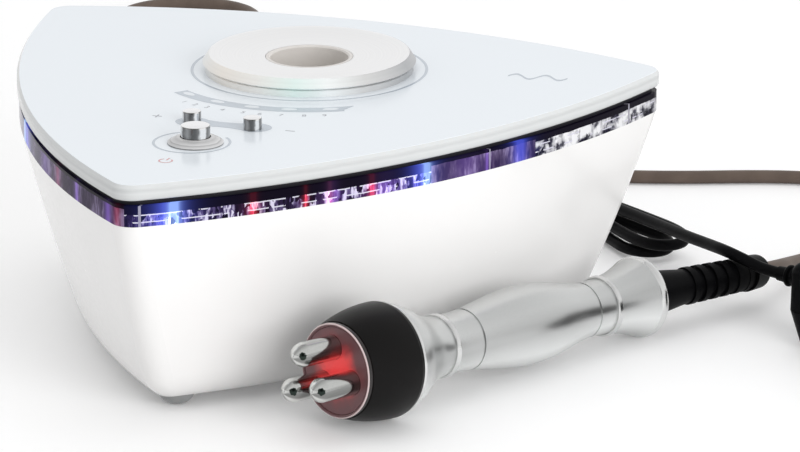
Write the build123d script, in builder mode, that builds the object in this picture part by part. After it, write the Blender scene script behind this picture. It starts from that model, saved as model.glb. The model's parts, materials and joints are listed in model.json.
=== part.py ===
from build123d import *
import math
import os

os.makedirs("parts", exist_ok=True)

# Place of the base on the table, from the middle of everything that stands there
base_x = -18.226
base_y = 21.648

# Plan of the base: three bulging sides and rounded corners, one corner to the front
side_radius = 320.0
side_reach = 90.7
corner_radius = 8.0

# Stack of the base, from the table up
foot_height = 5.0
shell_height = 68.5
band_height = 7.2
gap_height = 1.8
glass_thick = 5.5

# Shell: its wall leans in from the band to a rounded foot line, each inset measured from the glass edge
wall = 2.6
floor_thick = 2.8
band_inset = 0.6
side_rise = 40.0
side_inset = 8.2
round_rise = 9.0
round_inset = 17.8
foot_line = 25.0
shell_corner = 9.0
shell_inner_corner = 6.0
ledge_width = 10.4
ledge_thick = 3.0

# Recess for the two sockets in the back of the shell
recess_width = 78.0
recess_height = 24.0
recess_middle = 38.0
recess_wall_y = 72.0
recess_corner = 4.0
socket_spread = 24.0

# Feet and case screws
foot_pitch = 92.0
foot_radius = 6.6
foot_flat = 2.6
post_pitch = 54.0
boss_radius = 5.0
boss_height = 35.0
screw_radius = 1.5
screw_head_radius = 2.8
screw_head_height = 2.0
screw_play = 0.2
thread_play = 0.05
screw_reach = 14.0
screw_seat = 4.0

# Light band, frame and strip of lights
band_thick = 6.4
frame_inset = 2.0
frame_plate = 1.8
skirt_inset = 9.4
skirt_thick = 2.0
strip_thick = 0.5
strip_height = 5.6
light_size = 4.4
light_thick = 1.3
lights_per_side = 7
light_step = 5.0

# Round holder for the handpiece, a little to the right of the middle like the buttons
control_x = 2.2
holder_y = 21.3
well_radius = 13.7
well_depth = 22.0
well_wall = 1.6
well_floor = 2.0
collar_lip_width = 2.6
collar_lip_height = 2.0
holder_step_radius = 36.6
holder_step_height = 4.6
holder_seat_radius = 34.0
holder_groove = 0.5
holder_radius = 37.5
holder_top_radius = 35.4
holder_height = 5.0
holder_rim_width = 1.6
holder_dish = 2.0
slip = 0.2

# Buttons
power_y = -79.0
power_radius = 5.0
power_rise = 6.6
bezel_radius = 9.5
bezel_height = 2.3
bezel_edge = 0.5
bezel_sleeve = 7.0
level_y = -56.3
level_spread = 11.2
level_radius = 3.2
level_rise = 4.4
button_play = 0.3
button_flange = 1.3
button_lip = 1.2
button_travel = 1.2
stem_radius = 1.5
button_dome = 0.3
button_edge = 0.5

# Boards
board_thick = 1.6
button_board_drop = 8.0
switch_size = 6.0
switch_height = 3.4
plunger_radius = 1.75
plunger_height = 0.5
level_light_pitch = 54.0
level_light_count = 5
level_light_step = 15.3
level_light_start = -31.0
main_board_rise = 16.0
main_board_width = 76.0
main_board_depth = 66.0
main_board_y = 4.0
board_screw_radius = 1.25
pillar_radius = 3.0

# Handpiece: stations are measured along its axis from the face of the head
hand_x = 61.5
hand_y = -99.9
hand_turn = 24.0
collar_radius = 20.0
collar_rest = 21.0
collar_end = 22.4
window_rim = 16.3
window_radius = 14.9
window_thick = 2.4
head_bore = 14.5
ring_end = 24.0
ring_radius = 19.4
tube_end = 144.0
tube_wall = 1.6
bell_radius = 17.7
bell_at = 28.5
bell_foot_radius = 12.3
bell_foot_at = 38.5
neck_radius = 10.3
neck_at = 47.5
waist_radius = 10.6
waist_at = 60.0
belly_radius = 13.8
belly_at = 84.0
rear_belly_radius = 13.2
rear_belly_at = 98.0
rear_neck_radius = 9.7
rear_neck_at = 118.0
tail_radius = 14.4
tail_end = tube_end + 3.6
trim_width = 2.2
rear_trim_at = tube_end - 17.0
rear_trim_radius = 9.9
flare_radius = 11.6
flare_at = tube_end - 7.0
core_radius = 7.4
core_wall = 1.4
core_end = tube_end - 5.0
electrode_radius = 4.2
electrode_pitch = 7.9
electrode_reach = 18.0
electrode_start = 77.0
insulator_at = 10.0
insulator_thick = 6.0
stud_radius = 1.5
nut_height = 2.4
nut_across = 5.5

# Strain relief of the handpiece
relief_root = 7.5
relief_waist = 5.4
relief_rib = 6.7
relief_rib_width = 2.3
relief_ribs = 6
relief_tip = 6.0
relief_tip_length = 9.0
relief_end = (148.0, 85.0, 12.0)
relief_end_turn = 14.0

# Cords
hand_cord = 5.0
power_cord = 4.2
table_play = 0.1
rest_play = 0.01

up = (Align.CENTER, Align.CENTER, Align.MIN)
down = (Align.CENTER, Align.CENTER, Align.MAX)

# Levels worked out from the stack
shell_top = foot_height + shell_height
band_top = shell_top + band_height
frame_top = band_top + gap_height
glass_top = frame_top + glass_thick
shell_floor = foot_height + floor_thick
base = Plane((base_x, base_y, 0))
circle_offset = side_radius - side_reach
side_turns = (90, 210, 330)


def on_base(x, y, z):
    """A point given from the middle of the base, as a point of the whole part."""
    return Vector(base_x + x, base_y + y, z)


def level_outline(height, inset, corner=corner_radius):
    """The rounded triangle of the base on a level plane, drawn inset from the edge of the glass."""
    with BuildSketch(base.offset(height)) as level:
        for turn in side_turns:
            centre = Vector(-circle_offset, 0, 0).rotate(Axis.Z, turn)
            with Locations((centre.X, centre.Y)):
                Circle(side_radius - inset, mode=Mode.ADD if turn == side_turns[0] else Mode.INTERSECT)
        fillet(level.vertices(), corner)
    return level.sketch


def shell_body(step, bottom, corner):
    """The tapering body of the shell, step inside its outer skin: three turned discs cut to what they share."""
    top = shell_top + ledge_thick
    reach = side_radius - step
    with BuildPart() as disc:
        with BuildSketch(Plane.XZ):
            with BuildLine():
                side = ThreePointArc(
                    (reach - round_inset, foot_height + round_rise),
                    (reach - side_inset, foot_height + side_rise),
                    (reach - band_inset, shell_top),
                )
                TangentArc(side @ 0, (reach - foot_line, bottom), tangent=(side % 0) * -1)
                Line((reach - foot_line, bottom), (0, bottom))
                Line((0, bottom), (0, top))
                Line((0, top), (reach - band_inset, top))
                Line((reach - band_inset, top), side @ 1)
            make_face()
        revolve(axis=Axis.Z)
    with BuildPart() as body:
        for turn in side_turns:
            centre = Vector(-circle_offset, 0, 0).rotate(Axis.Z, turn) + base.origin
            add(disc.part.moved(Location(centre)), mode=Mode.ADD if turn == side_turns[0] else Mode.INTERSECT)
        fillet(body.edges().filter_by(lambda edge: abs((edge @ 0).Z - (edge @ 1).Z) > 1), corner)
    return body.part


def save(builder, name):
    """Label a finished piece and write it to its own file."""
    builder.part.label = name
    export_step(builder.part, f"parts/{name}.step")
    return builder.part


# Bottom shell
post_places = [(post_pitch * math.cos(math.radians(a)), post_pitch * math.sin(math.radians(a))) for a in side_turns]
boss_top = shell_floor + boss_height
recess_bottom = recess_middle - recess_height / 2
main_board_bottom = shell_floor + main_board_rise
pillar_places = [
    (x * (main_board_width / 2 - pillar_radius - 1), main_board_y + y * (main_board_depth / 2 - pillar_radius - 1))
    for x in (-1, 1)
    for y in (-1, 1)
]
recess_plane = Plane(on_base(0, recess_wall_y, recess_middle), x_dir=(-1, 0, 0), z_dir=(0, 1, 0))
hand_socket_radius = 7.6
dc_socket_radius = 4.0
with BuildPart() as outer_body:
    add(shell_body(0, foot_height, shell_corner))
    split(bisect_by=Plane.XY.offset(shell_top), keep=Keep.BOTTOM)
with BuildPart() as recess_block:
    with BuildSketch(base.offset(recess_bottom - wall)):
        with Locations((0, recess_wall_y - wall)):
            Rectangle(recess_width + 2 * wall, 40, align=(Align.CENTER, Align.MIN))
    extrude(amount=recess_height + 2 * wall)
    add(outer_body.part, mode=Mode.INTERSECT)
with BuildPart() as bottom_shell:
    add(outer_body.part)
    add(shell_body(wall, shell_floor, shell_inner_corner), mode=Mode.SUBTRACT)
    extrude(level_outline(shell_top - ledge_thick, band_inset + 1.2), amount=ledge_thick)
    extrude(level_outline(shell_top - ledge_thick, ledge_width), amount=ledge_thick, mode=Mode.SUBTRACT)
    add(recess_block.part)
    with BuildSketch(recess_plane):
        RectangleRounded(recess_width, recess_height, recess_corner)
    extrude(amount=40, mode=Mode.SUBTRACT)
    with BuildSketch(recess_plane):
        with Locations((socket_spread, 0)):
            Circle(hand_socket_radius + screw_play)
        with Locations((-socket_spread, 0)):
            Circle(dc_socket_radius + screw_play)
    extrude(amount=-wall, mode=Mode.SUBTRACT)
    with BuildSketch(base.offset(shell_floor - 0.4)):
        with Locations(*post_places):
            Circle(boss_radius)
        with Locations(*pillar_places):
            Circle(pillar_radius)
    extrude(amount=main_board_rise + 0.4)
    with BuildSketch(base.offset(main_board_bottom)):
        with Locations(*post_places):
            Circle(boss_radius)
    extrude(amount=boss_top - main_board_bottom)
    with BuildSketch(base.offset(foot_height)):
        with Locations(*post_places):
            Circle(screw_head_radius + 2 * screw_play)
    extrude(amount=floor_thick + boss_height - screw_seat, mode=Mode.SUBTRACT)
    with BuildSketch(base.offset(foot_height)):
        with Locations(*post_places):
            Circle(screw_radius + screw_play)
    extrude(amount=floor_thick + boss_height, mode=Mode.SUBTRACT)
    with BuildSketch(base.offset(main_board_bottom)):
        with Locations(*pillar_places):
            Circle(board_screw_radius + thread_play)
    extrude(amount=-8, mode=Mode.SUBTRACT)
save(bottom_shell, "bottom_shell")

# Feet
foot_curve = (foot_radius**2 - foot_flat**2 + foot_height**2) / (2 * foot_height)
with BuildPart() as one_foot:
    with BuildSketch(Plane.XZ):
        with BuildLine():
            Line((0, 0), (foot_flat, 0))
            ThreePointArc((foot_flat, 0), (foot_radius * 0.84, foot_height * 0.42), (foot_radius, foot_height))
            Line((foot_radius, foot_height), (0, foot_height))
            Line((0, foot_height), (0, 0))
        make_face()
    revolve(axis=Axis.Z)
with BuildPart(base) as feet:
    with PolarLocations(foot_pitch, 3, start_angle=-90):
        add(one_foot.part)
save(feet, "feet")

# Case screws, up through the bosses of the shell into the posts of the frame
screw_seat_z = boss_top - screw_seat
with BuildPart(base.offset(screw_seat_z)) as case_screws:
    with Locations(*post_places):
        Cylinder(screw_head_radius, screw_head_height, align=down)
        Cylinder(screw_radius, screw_seat + screw_reach - 2, align=up)
        with Locations((0, 0, -screw_head_height)):
            Box(0.8, 3.6, 0.9, align=up, mode=Mode.SUBTRACT)
            Box(3.6, 0.8, 0.9, align=up, mode=Mode.SUBTRACT)
save(case_screws, "case_screws")

# Light band, a clear ring under the glass
with BuildPart() as light_band:
    extrude(level_outline(shell_top, band_inset), amount=band_height)
    extrude(level_outline(shell_top, band_inset + band_thick), amount=band_height, mode=Mode.SUBTRACT)
save(light_band, "light_band")

# Frame under the glass, with a skirt behind the light band and three long posts
level_light_places = [
    Vector(0, -level_light_pitch, 0).rotate(Axis.Z, level_light_start + level_light_step * k) + Vector(control_x, holder_y, 0)
    for k in range(level_light_count)
]
level_light_turns = [level_light_start + level_light_step * k for k in range(level_light_count)]
button_board_top = band_top - button_board_drop + board_thick
button_board_bottom = band_top - button_board_drop
power_place = (control_x, power_y)
plus_place = (control_x - level_spread, level_y)
minus_place = (control_x + level_spread, level_y)
switch_places = [power_place, plus_place, minus_place]
board_post_places = [(-20, -40), (20, -40), (-17, -70), (17, -70)]
well_outer = well_radius + well_wall
with BuildPart() as top_frame:
    extrude(level_outline(band_top, frame_inset), amount=frame_plate)
    extrude(level_outline(shell_top, skirt_inset), amount=band_height)
    extrude(level_outline(shell_top, skirt_inset + skirt_thick), amount=band_height, mode=Mode.SUBTRACT)
    with BuildSketch(base.offset(boss_top)):
        with Locations(*post_places):
            Circle(boss_radius - 0.8)
    extrude(amount=band_top - boss_top)
    with BuildSketch(base.offset(boss_top)):
        with Locations(*post_places):
            Circle(screw_radius + thread_play)
    extrude(amount=screw_reach, mode=Mode.SUBTRACT)
    with BuildSketch(base.offset(button_board_top)):
        with Locations(*board_post_places):
            Circle(pillar_radius)
    extrude(amount=band_top - button_board_top)
    with BuildSketch(base.offset(button_board_top)):
        with Locations(*board_post_places):
            Circle(board_screw_radius + thread_play)
    extrude(amount=band_top - button_board_top, mode=Mode.SUBTRACT)
    with BuildSketch(base.offset(band_top)):
        with Locations((control_x, holder_y)):
            Circle(well_outer + slip)
        with Locations(power_place):
            Circle(power_radius + button_lip + button_play)
        with Locations(plus_place, minus_place):
            Circle(level_radius + button_lip + button_play)
        for place, turn in zip(level_light_places, level_light_turns):
            with Locations(Location((place.X, place.Y), turn)):
                SlotOverall(7.2, 3.6)
    extrude(amount=frame_plate, mode=Mode.SUBTRACT)
save(top_frame, "top_frame")

# Strip of lights behind the band
strip_bottom = shell_top + (band_height - strip_height) / 2
with BuildPart() as light_strip:
    extrude(level_outline(strip_bottom, skirt_inset - strip_thick), amount=strip_height)
    extrude(level_outline(strip_bottom, skirt_inset), amount=strip_height, mode=Mode.SUBTRACT)
save(light_strip, "light_strip")
light_reach = side_radius - skirt_inset + strip_thick
with BuildPart(base.offset(strip_bottom + strip_height / 2)) as band_lights:
    for turn in side_turns:
        centre = Vector(-circle_offset, 0, 0).rotate(Axis.Z, turn)
        start = turn - light_step * (lights_per_side - 1) / 2
        with Locations((centre.X, centre.Y, 0)):
            with PolarLocations(light_reach, lights_per_side, start, light_step * lights_per_side, endpoint=False):
                Box(light_thick, light_size, light_size, align=(Align.MIN, Align.CENTER, Align.CENTER))
save(band_lights, "band_lights")

# Glass top
with BuildPart() as glass_plate:
    extrude(level_outline(frame_top, 0), amount=glass_thick)
    chamfer(glass_plate.faces().sort_by(Axis.Z)[-1].edges(), length=1.2, length2=0.9)
    fillet(glass_plate.faces().sort_by(Axis.Z)[0].edges(), 1.0)
    with BuildSketch(base.offset(frame_top)):
        with Locations((control_x, holder_y)):
            Circle(well_outer + slip)
        with Locations(power_place):
            Circle(bezel_sleeve + slip)
        with Locations(plus_place, minus_place):
            Circle(level_radius + button_play)
    extrude(amount=glass_thick, mode=Mode.SUBTRACT)
save(glass_plate, "glass_top")

# Step ring under the holder disc
disc_bottom = glass_top + holder_step_height + holder_groove
disc_top = disc_bottom + holder_height
holder_plane = Plane(on_base(control_x, holder_y, 0), x_dir=(1, 0, 0), z_dir=(0, -1, 0))
holder_axis = Axis(on_base(control_x, holder_y, 0), (0, 0, 1))
holder_bore = well_outer + slip
with BuildPart() as holder_step:
    with BuildSketch(holder_plane):
        with BuildLine():
            Polyline(
                (holder_bore, glass_top),
                (holder_step_radius, glass_top),
                (holder_step_radius, glass_top + holder_step_height),
                (holder_seat_radius, glass_top + holder_step_height),
                (holder_seat_radius, disc_bottom),
                (holder_bore, disc_bottom),
                close=True,
            )
        make_face()
    revolve(axis=holder_axis)
save(holder_step, "holder_step")

# Holder disc, dished towards the well
with BuildPart() as holder_disc:
    with BuildSketch(holder_plane):
        with BuildLine():
            Line((holder_bore, disc_bottom), (holder_radius - 0.5, disc_bottom))
            Line((holder_radius - 0.5, disc_bottom), (holder_radius, disc_bottom + 0.6))
            Line((holder_radius, disc_bottom + 0.6), (holder_top_radius, disc_top))
            Line((holder_top_radius, disc_top), (holder_top_radius - holder_rim_width, disc_top))
            ThreePointArc(
                (holder_top_radius - holder_rim_width, disc_top),
                ((holder_bore + holder_top_radius) / 2, disc_top - holder_dish * 0.72),
                (holder_bore, disc_top - holder_dish),
            )
            Line((holder_bore, disc_top - holder_dish), (holder_bore, disc_bottom))
        make_face()
    revolve(axis=holder_axis)
save(holder_disc, "holder_disc")

# Well that takes the head of the handpiece
well_top = disc_top - holder_dish
well_bottom = well_top - well_depth
well_edge = 0.5
with BuildPart() as holder_well:
    with BuildSketch(holder_plane):
        with BuildLine():
            Polyline(
                (0, well_bottom - well_floor),
                (well_outer, well_bottom - well_floor),
                (well_outer, band_top - collar_lip_height),
                (well_outer + collar_lip_width, band_top - collar_lip_height),
                (well_outer + collar_lip_width, band_top),
                (well_outer, band_top),
                (well_outer, well_top),
                (well_radius + well_edge, well_top),
                (well_radius, well_top - well_edge),
                (well_radius, well_bottom),
                (0, well_bottom),
                close=True,
            )
        make_face()
    revolve(axis=holder_axis)
save(holder_well, "holder_well")

# Bezel round the power button
power_plane = Plane(on_base(*power_place, 0), x_dir=(1, 0, 0), z_dir=(0, -1, 0))
power_axis = Axis(on_base(*power_place, 0), (0, 0, 1))
bezel_bore = power_radius + button_play
with BuildPart() as power_bezel:
    with BuildSketch(power_plane):
        with BuildLine():
            Line((bezel_bore, frame_top), (bezel_sleeve, frame_top))
            Line((bezel_sleeve, frame_top), (bezel_sleeve, glass_top))
            Line((bezel_sleeve, glass_top), (bezel_radius, glass_top))
            Line((bezel_radius, glass_top), (bezel_radius, glass_top + bezel_edge))
            ThreePointArc(
                (bezel_radius, glass_top + bezel_edge),
                ((bezel_radius + bezel_bore) / 2, glass_top + bezel_height * 0.75),
                (bezel_bore, glass_top + bezel_height),
            )
            Line((bezel_bore, glass_top + bezel_height), (bezel_bore, frame_top))
        make_face()
    revolve(axis=power_axis)
save(power_bezel, "power_bezel")

# Buttons: a domed cap on a shank, a lip under the glass and a stem over its switch
plunger_top = button_board_top + switch_height + plunger_height
stem_bottom = plunger_top + button_travel + 0.15


def button(name, x, y, radius, rise):
    """One push button, turned about its own upright axis."""
    plane = Plane(on_base(x, y, 0), x_dir=(1, 0, 0), z_dir=(0, -1, 0))
    top = glass_top + rise
    lip_top = frame_top - 0.1
    with BuildPart() as piece:
        with BuildSketch(plane):
            with BuildLine():
                Polyline(
                    (0, stem_bottom),
                    (stem_radius, stem_bottom),
                    (stem_radius, lip_top - button_flange),
                    (radius + button_lip, lip_top - button_flange),
                    (radius + button_lip, lip_top),
                    (radius, lip_top),
                    (radius, top - button_dome),
                )
                ThreePointArc((radius, top - button_dome), (radius / 2, top - button_dome / 4), (0, top))
                Line((0, top), (0, stem_bottom))
            make_face()
        revolve(axis=Axis(on_base(x, y, 0), (0, 0, 1)))
        fillet(piece.faces().sort_by(Axis.Z)[-1].edges(), button_edge)
    return save(piece, name)


button("power_button", *power_place, power_radius, power_rise)
button("plus_button", *plus_place, level_radius, level_rise)
button("minus_button", *minus_place, level_radius, level_rise)

# Button board, hung under the frame
with BuildPart() as button_board:
    with BuildSketch(base.offset(button_board_bottom)) as board_outline:
        with BuildLine():
            Polyline((-14, -90), (14, -90), (30, -62), (40, -40), (40, -19), (-40, -19), (-40, -40), (-30, -62), close=True)
        make_face()
        fillet(board_outline.vertices(), 3)
        with Locations(*board_post_places):
            Circle(board_screw_radius + screw_play, mode=Mode.SUBTRACT)
    extrude(amount=board_thick)
save(button_board, "button_board")
with BuildPart(base.offset(button_board_top)) as tact_switches:
    with Locations(*switch_places):
        Box(switch_size, switch_size, switch_height, align=up)
        with Locations((0, 0, switch_height)):
            Cylinder(plunger_radius, plunger_height, align=up)
save(tact_switches, "tact_switches")
with BuildPart() as level_lights:
    with BuildSketch(base.offset(button_board_top)):
        for place, turn in zip(level_light_places, level_light_turns):
            with Locations(Location((place.X, place.Y), turn)):
                SlotOverall(6.6, 3.0)
    extrude(amount=frame_top - button_board_top - 0.1)
save(level_lights, "level_lights")

# Main board and what it carries
main_board_top = main_board_bottom + board_thick
with BuildPart() as main_board:
    with BuildSketch(base.offset(main_board_bottom)):
        with Locations((0, main_board_y)):
            RectangleRounded(main_board_width, main_board_depth, 3)
        with Locations(*pillar_places):
            Circle(board_screw_radius + screw_play, mode=Mode.SUBTRACT)
    extrude(amount=board_thick)
save(main_board, "main_board")
with BuildPart() as board_screws:
    for x, y in pillar_places:
        with Locations(on_base(x, y, main_board_top)):
            Cylinder(board_screw_radius + 1.1, 1.4, align=up)
            Cylinder(board_screw_radius, board_thick + 6, align=down)
    for x, y in board_post_places:
        with Locations(on_base(x, y, button_board_bottom)):
            Cylinder(board_screw_radius + 1.1, 1.4, align=down)
            Cylinder(board_screw_radius, board_thick + 3, align=up)
save(board_screws, "board_screws")
coil_x = -22.0
coil_y = 8.0
coil_radius = 14.0
coil_bore = 6.5
coil_height = 11.0
with BuildPart() as rf_transformer:
    with BuildSketch(Plane(on_base(coil_x, coil_y, main_board_top), x_dir=(1, 0, 0), z_dir=(0, -1, 0))):
        with Locations(((coil_radius + coil_bore) / 2, coil_height / 2)):
            RectangleRounded(coil_radius - coil_bore, coil_height, 2.5)
    revolve(axis=Axis(on_base(coil_x, coil_y, 0), (0, 0, 1)))
save(rf_transformer, "rf_transformer")
with BuildPart(base.offset(main_board_top)) as capacitors:
    with Locations((6, 24), (18, 24), (30, 24)):
        Cylinder(4.5, 14, align=up)
    fillet(capacitors.faces().sort_by(Axis.Z)[-3:].edges(), 0.6)
save(capacitors, "capacitors")
sink_length = 36.0
sink_fins = 6
sink_x = 16.0
sink_y = -7.0
fin_pitch = 3.4
fin_thick = 1.4
sink_depth = fin_pitch * (sink_fins - 1) + fin_thick
with BuildPart(base.offset(main_board_top)) as heat_sink:
    with Locations((sink_x, sink_y)):
        Box(sink_length, sink_depth, 2.4, align=up)
        with GridLocations(0, fin_pitch, 1, sink_fins):
            Box(sink_length, fin_thick, 16, align=up)
save(heat_sink, "heat_sink")
with BuildPart(base.offset(main_board_top)) as output_transistors:
    with Locations((sink_x - 10, sink_y - sink_depth / 2), (sink_x + 8, sink_y - sink_depth / 2)):
        Box(10, 4.5, 15, align=(Align.CENTER, Align.MAX, Align.MIN))
save(output_transistors, "output_transistors")
with BuildPart(base.offset(main_board_top)) as beeper:
    with Locations((-27, -14)):
        Cylinder(6, 8, align=up)
        with Locations((0, 0, 7)):
            Cylinder(1.2, 1, align=up, mode=Mode.SUBTRACT)
save(beeper, "beeper")

# Ribbon between the two boards
ribbon_y = -24.0
ribbon_width = 14.0
ribbon_thick = 0.9
ribbon_x = -8.0
ribbon_bulge = 6.0
with BuildPart() as board_ribbon:
    with BuildSketch(Plane(on_base(ribbon_x, 0, 0), x_dir=(0, 1, 0), z_dir=(1, 0, 0))):
        with BuildLine() as ribbon_line:
            middle = (main_board_top + button_board_bottom) / 2
            ThreePointArc(
                (ribbon_y, main_board_top),
                (ribbon_y - ribbon_bulge, middle),
                (ribbon_y, button_board_bottom),
            )
            offset(amount=ribbon_thick / 2, side=Side.BOTH)
        make_face()
    extrude(amount=ribbon_width / 2, both=True)
    with BuildSketch(base.offset(main_board_top)):
        with Locations((ribbon_x, 0)):
            Rectangle(ribbon_width + 2, 200)
    extrude(amount=button_board_bottom - main_board_top, mode=Mode.INTERSECT)
save(board_ribbon, "board_ribbon")

# Sockets in the recess at the back
hand_socket_plane = Plane(on_base(-socket_spread, recess_wall_y, recess_middle), x_dir=(-1, 0, 0), z_dir=(0, 1, 0))
dc_socket_plane = Plane(on_base(socket_spread, recess_wall_y, recess_middle), x_dir=(-1, 0, 0), z_dir=(0, 1, 0))
socket_flange = 9.4
socket_flange_thick = 1.8
socket_length = 7.0
socket_inside = 14.0
nut_thick = 2.5
with BuildPart(hand_socket_plane) as handpiece_socket:
    Cylinder(socket_flange, socket_flange_thick, align=up)
    Cylinder(hand_socket_radius, socket_length, align=up)
    Cylinder(hand_socket_radius, wall + socket_inside, align=down)
    with Locations((0, 0, 2)):
        Cylinder(hand_socket_radius - 1.4, socket_length, align=up, mode=Mode.SUBTRACT)
    with Locations((0, 0, 2)):
        with PolarLocations(3.2, 4):
            Cylinder(0.6, 3, align=up)
save(handpiece_socket, "handpiece_socket")
with BuildPart() as handpiece_socket_nut:
    with BuildSketch(hand_socket_plane.offset(-wall)):
        RegularPolygon(socket_flange + 1, 6)
        Circle(hand_socket_radius + thread_play, mode=Mode.SUBTRACT)
    extrude(amount=-nut_thick)
save(handpiece_socket_nut, "handpiece_socket_nut")
dc_bore = 2.8
with BuildPart(dc_socket_plane) as dc_socket:
    Cylinder(dc_socket_radius + 1.6, 1.4, align=up)
    Cylinder(dc_socket_radius, wall + 11, align=down)
    with Locations((0, 0, 1.4)):
        Cylinder(dc_bore, 10.4, align=down, mode=Mode.SUBTRACT)
    Cylinder(1.0, 9, align=down)
save(dc_socket, "dc_socket")
with BuildPart() as dc_socket_nut:
    with BuildSketch(dc_socket_plane.offset(-wall)):
        RegularPolygon(dc_socket_radius + 2.2, 6)
        Circle(dc_socket_radius + thread_play, mode=Mode.SUBTRACT)
    extrude(amount=-1.8)
save(dc_socket_nut, "dc_socket_nut")

# Handpiece axis: it rests on its collar and on its tail ring, so it leans a little
tail_rest = (tube_end + tail_end) / 2
lean = math.asin((collar_radius - tail_radius) / (tail_rest - collar_rest))
head_height = collar_radius * math.cos(lean) + collar_rest * math.sin(lean) + rest_play
turn_rad = math.radians(hand_turn)
hand_dir = Vector(
    math.sin(turn_rad) * math.cos(lean),
    math.cos(turn_rad) * math.cos(lean),
    -math.sin(lean),
)
hand_origin = on_base(hand_x, hand_y, head_height)
hand_side = Vector(0, 0, 1).cross(hand_dir).normalized()
hand = Plane(hand_origin, x_dir=hand_side, z_dir=hand_dir)
hand_section = Plane(hand_origin, x_dir=hand_dir, z_dir=hand_side)
hand_axis = Axis(hand_origin, hand_dir)


# Head collar
collar_front = 16.6
shelf_width = 1.1
shelf_thick = 2.0
with BuildPart() as head_collar:
    with BuildSketch(hand_section):
        with BuildLine():
            Line((1.5, window_radius), (1.5, collar_front))
            ThreePointArc((1.5, collar_front), (10.0, 19.0), (collar_rest, collar_radius))
            Line((collar_rest, collar_radius), (collar_end, collar_radius - 0.4))
            Line((collar_end, collar_radius - 0.4), (collar_end, head_bore))
            Line((collar_end, head_bore), (window_thick + shelf_thick, head_bore))
            Line((window_thick + shelf_thick, head_bore), (window_thick + shelf_thick, head_bore - shelf_width))
            Line((window_thick + shelf_thick, head_bore - shelf_width), (window_thick, head_bore - shelf_width))
            Line((window_thick, head_bore - shelf_width), (window_thick, window_radius))
            Line((window_thick, window_radius), (1.5, window_radius))
        make_face()
    revolve(axis=hand_axis)
save(head_collar, "head_collar")

# Rim ring and window of the head
with BuildPart() as window_ring:
    with BuildSketch(hand_section):
        with BuildLine():
            Polyline((1.5, window_radius), (1.5, window_rim), (0.2, window_rim), close=False)
            ThreePointArc((0.2, window_rim), (-0.5, window_rim - 0.7), (0.0, window_radius))
            Line((0.0, window_radius), (1.5, window_radius))
        make_face()
    revolve(axis=hand_axis)
save(window_ring, "window_ring")
with BuildPart() as head_window:
    with BuildSketch(hand):
        Circle(window_radius - 0.1)
        with PolarLocations(electrode_pitch, 3, start_angle=electrode_start):
            Circle(electrode_radius + 0.1, mode=Mode.SUBTRACT)
    extrude(amount=window_thick)
save(head_window, "head_window")

# Electrodes, each a domed rod on a threaded stud
stud_length = insulator_thick + nut_height + 1.0
for number, place in enumerate(PolarLocations(electrode_pitch, 3, start_angle=electrode_start).locations):
    spot = hand.from_local_coords(place.position)
    plane = Plane(spot, x_dir=hand_dir, z_dir=hand_side)
    with BuildPart() as electrode:
        with BuildSketch(plane):
            with BuildLine():
                Line((electrode_radius - electrode_reach, electrode_radius), (insulator_at, electrode_radius))
                Line((insulator_at, electrode_radius), (insulator_at, stud_radius))
                Line((insulator_at, stud_radius), (insulator_at + stud_length, stud_radius))
                Line((insulator_at + stud_length, stud_radius), (insulator_at + stud_length, 0))
                Line((insulator_at + stud_length, 0), (-electrode_reach, 0))
                RadiusArc((-electrode_reach, 0), (electrode_radius - electrode_reach, electrode_radius), electrode_radius)
            make_face()
        revolve(axis=Axis(spot, hand_dir))
    save(electrode, f"electrode_{number + 1}")

# Insulator, electrode nuts and ring of lights inside the head
with BuildPart() as electrode_insulator:
    with BuildSketch(hand.offset(insulator_at)):
        Circle(head_bore - 0.1)
        with PolarLocations(electrode_pitch, 3, start_angle=electrode_start):
            Circle(stud_radius + 0.1, mode=Mode.SUBTRACT)
    extrude(amount=insulator_thick)
save(electrode_insulator, "electrode_insulator")
with BuildPart() as electrode_nuts:
    with BuildSketch(hand.offset(insulator_at + insulator_thick)):
        with PolarLocations(electrode_pitch, 3, start_angle=electrode_start):
            RegularPolygon(nut_across / 2, 6, major_radius=False)
            Circle(stud_radius + thread_play, mode=Mode.SUBTRACT)
    extrude(amount=nut_height)
save(electrode_nuts, "electrode_nuts")
lamp_board_at = window_thick + shelf_thick
with BuildPart() as lamp_board:
    with BuildSketch(hand.offset(lamp_board_at)):
        Circle(head_bore - 0.1)
        with PolarLocations(electrode_pitch, 3, start_angle=electrode_start):
            Circle(electrode_radius + 0.2, mode=Mode.SUBTRACT)
    extrude(amount=1.2)
save(lamp_board, "lamp_board")
lamp_size = 2.6
lamp_height = 1.2
with BuildPart(hand.offset(lamp_board_at)) as red_lamps:
    for nudge in (-20, 20):
        with PolarLocations(11.0, 3, start_angle=electrode_start + 60 + nudge):
            Box(lamp_size, lamp_size, lamp_height, align=down)
save(red_lamps, "red_lamps")

# Bright ring between collar and handle
with BuildPart() as head_ring:
    with BuildSketch(hand_section):
        with BuildLine():
            Line((collar_end, core_radius + 3), (collar_end, ring_radius))
            ThreePointArc((collar_end, ring_radius), (23.2, ring_radius + 0.2), (ring_end, ring_radius - 0.2))
            Line((ring_end, ring_radius - 0.2), (ring_end, core_radius + 3))
            Line((ring_end, core_radius + 3), (collar_end, core_radius + 3))
        make_face()
    revolve(axis=hand_axis)
save(head_ring, "head_ring")

# Handle tube, a turned aluminium skin with two grooves for the trim rings
waist_profile = [
    (ring_end, ring_radius - 0.6),
    (bell_at, bell_radius),
    (bell_foot_at, bell_foot_radius),
    (neck_at, neck_radius),
    (waist_at, waist_radius),
    (belly_at, belly_radius),
    (rear_belly_at, rear_belly_radius),
    (rear_neck_at, rear_neck_radius),
    (rear_trim_at, rear_trim_radius),
    (flare_at, flare_radius),
    (tube_end, tail_radius - 0.5),
]
groove_depth = 0.4


def handle_curve(step):
    """The handle's waisted profile, step inside its outer skin."""
    return Spline([(s, r - step) for s, r in waist_profile])


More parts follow.
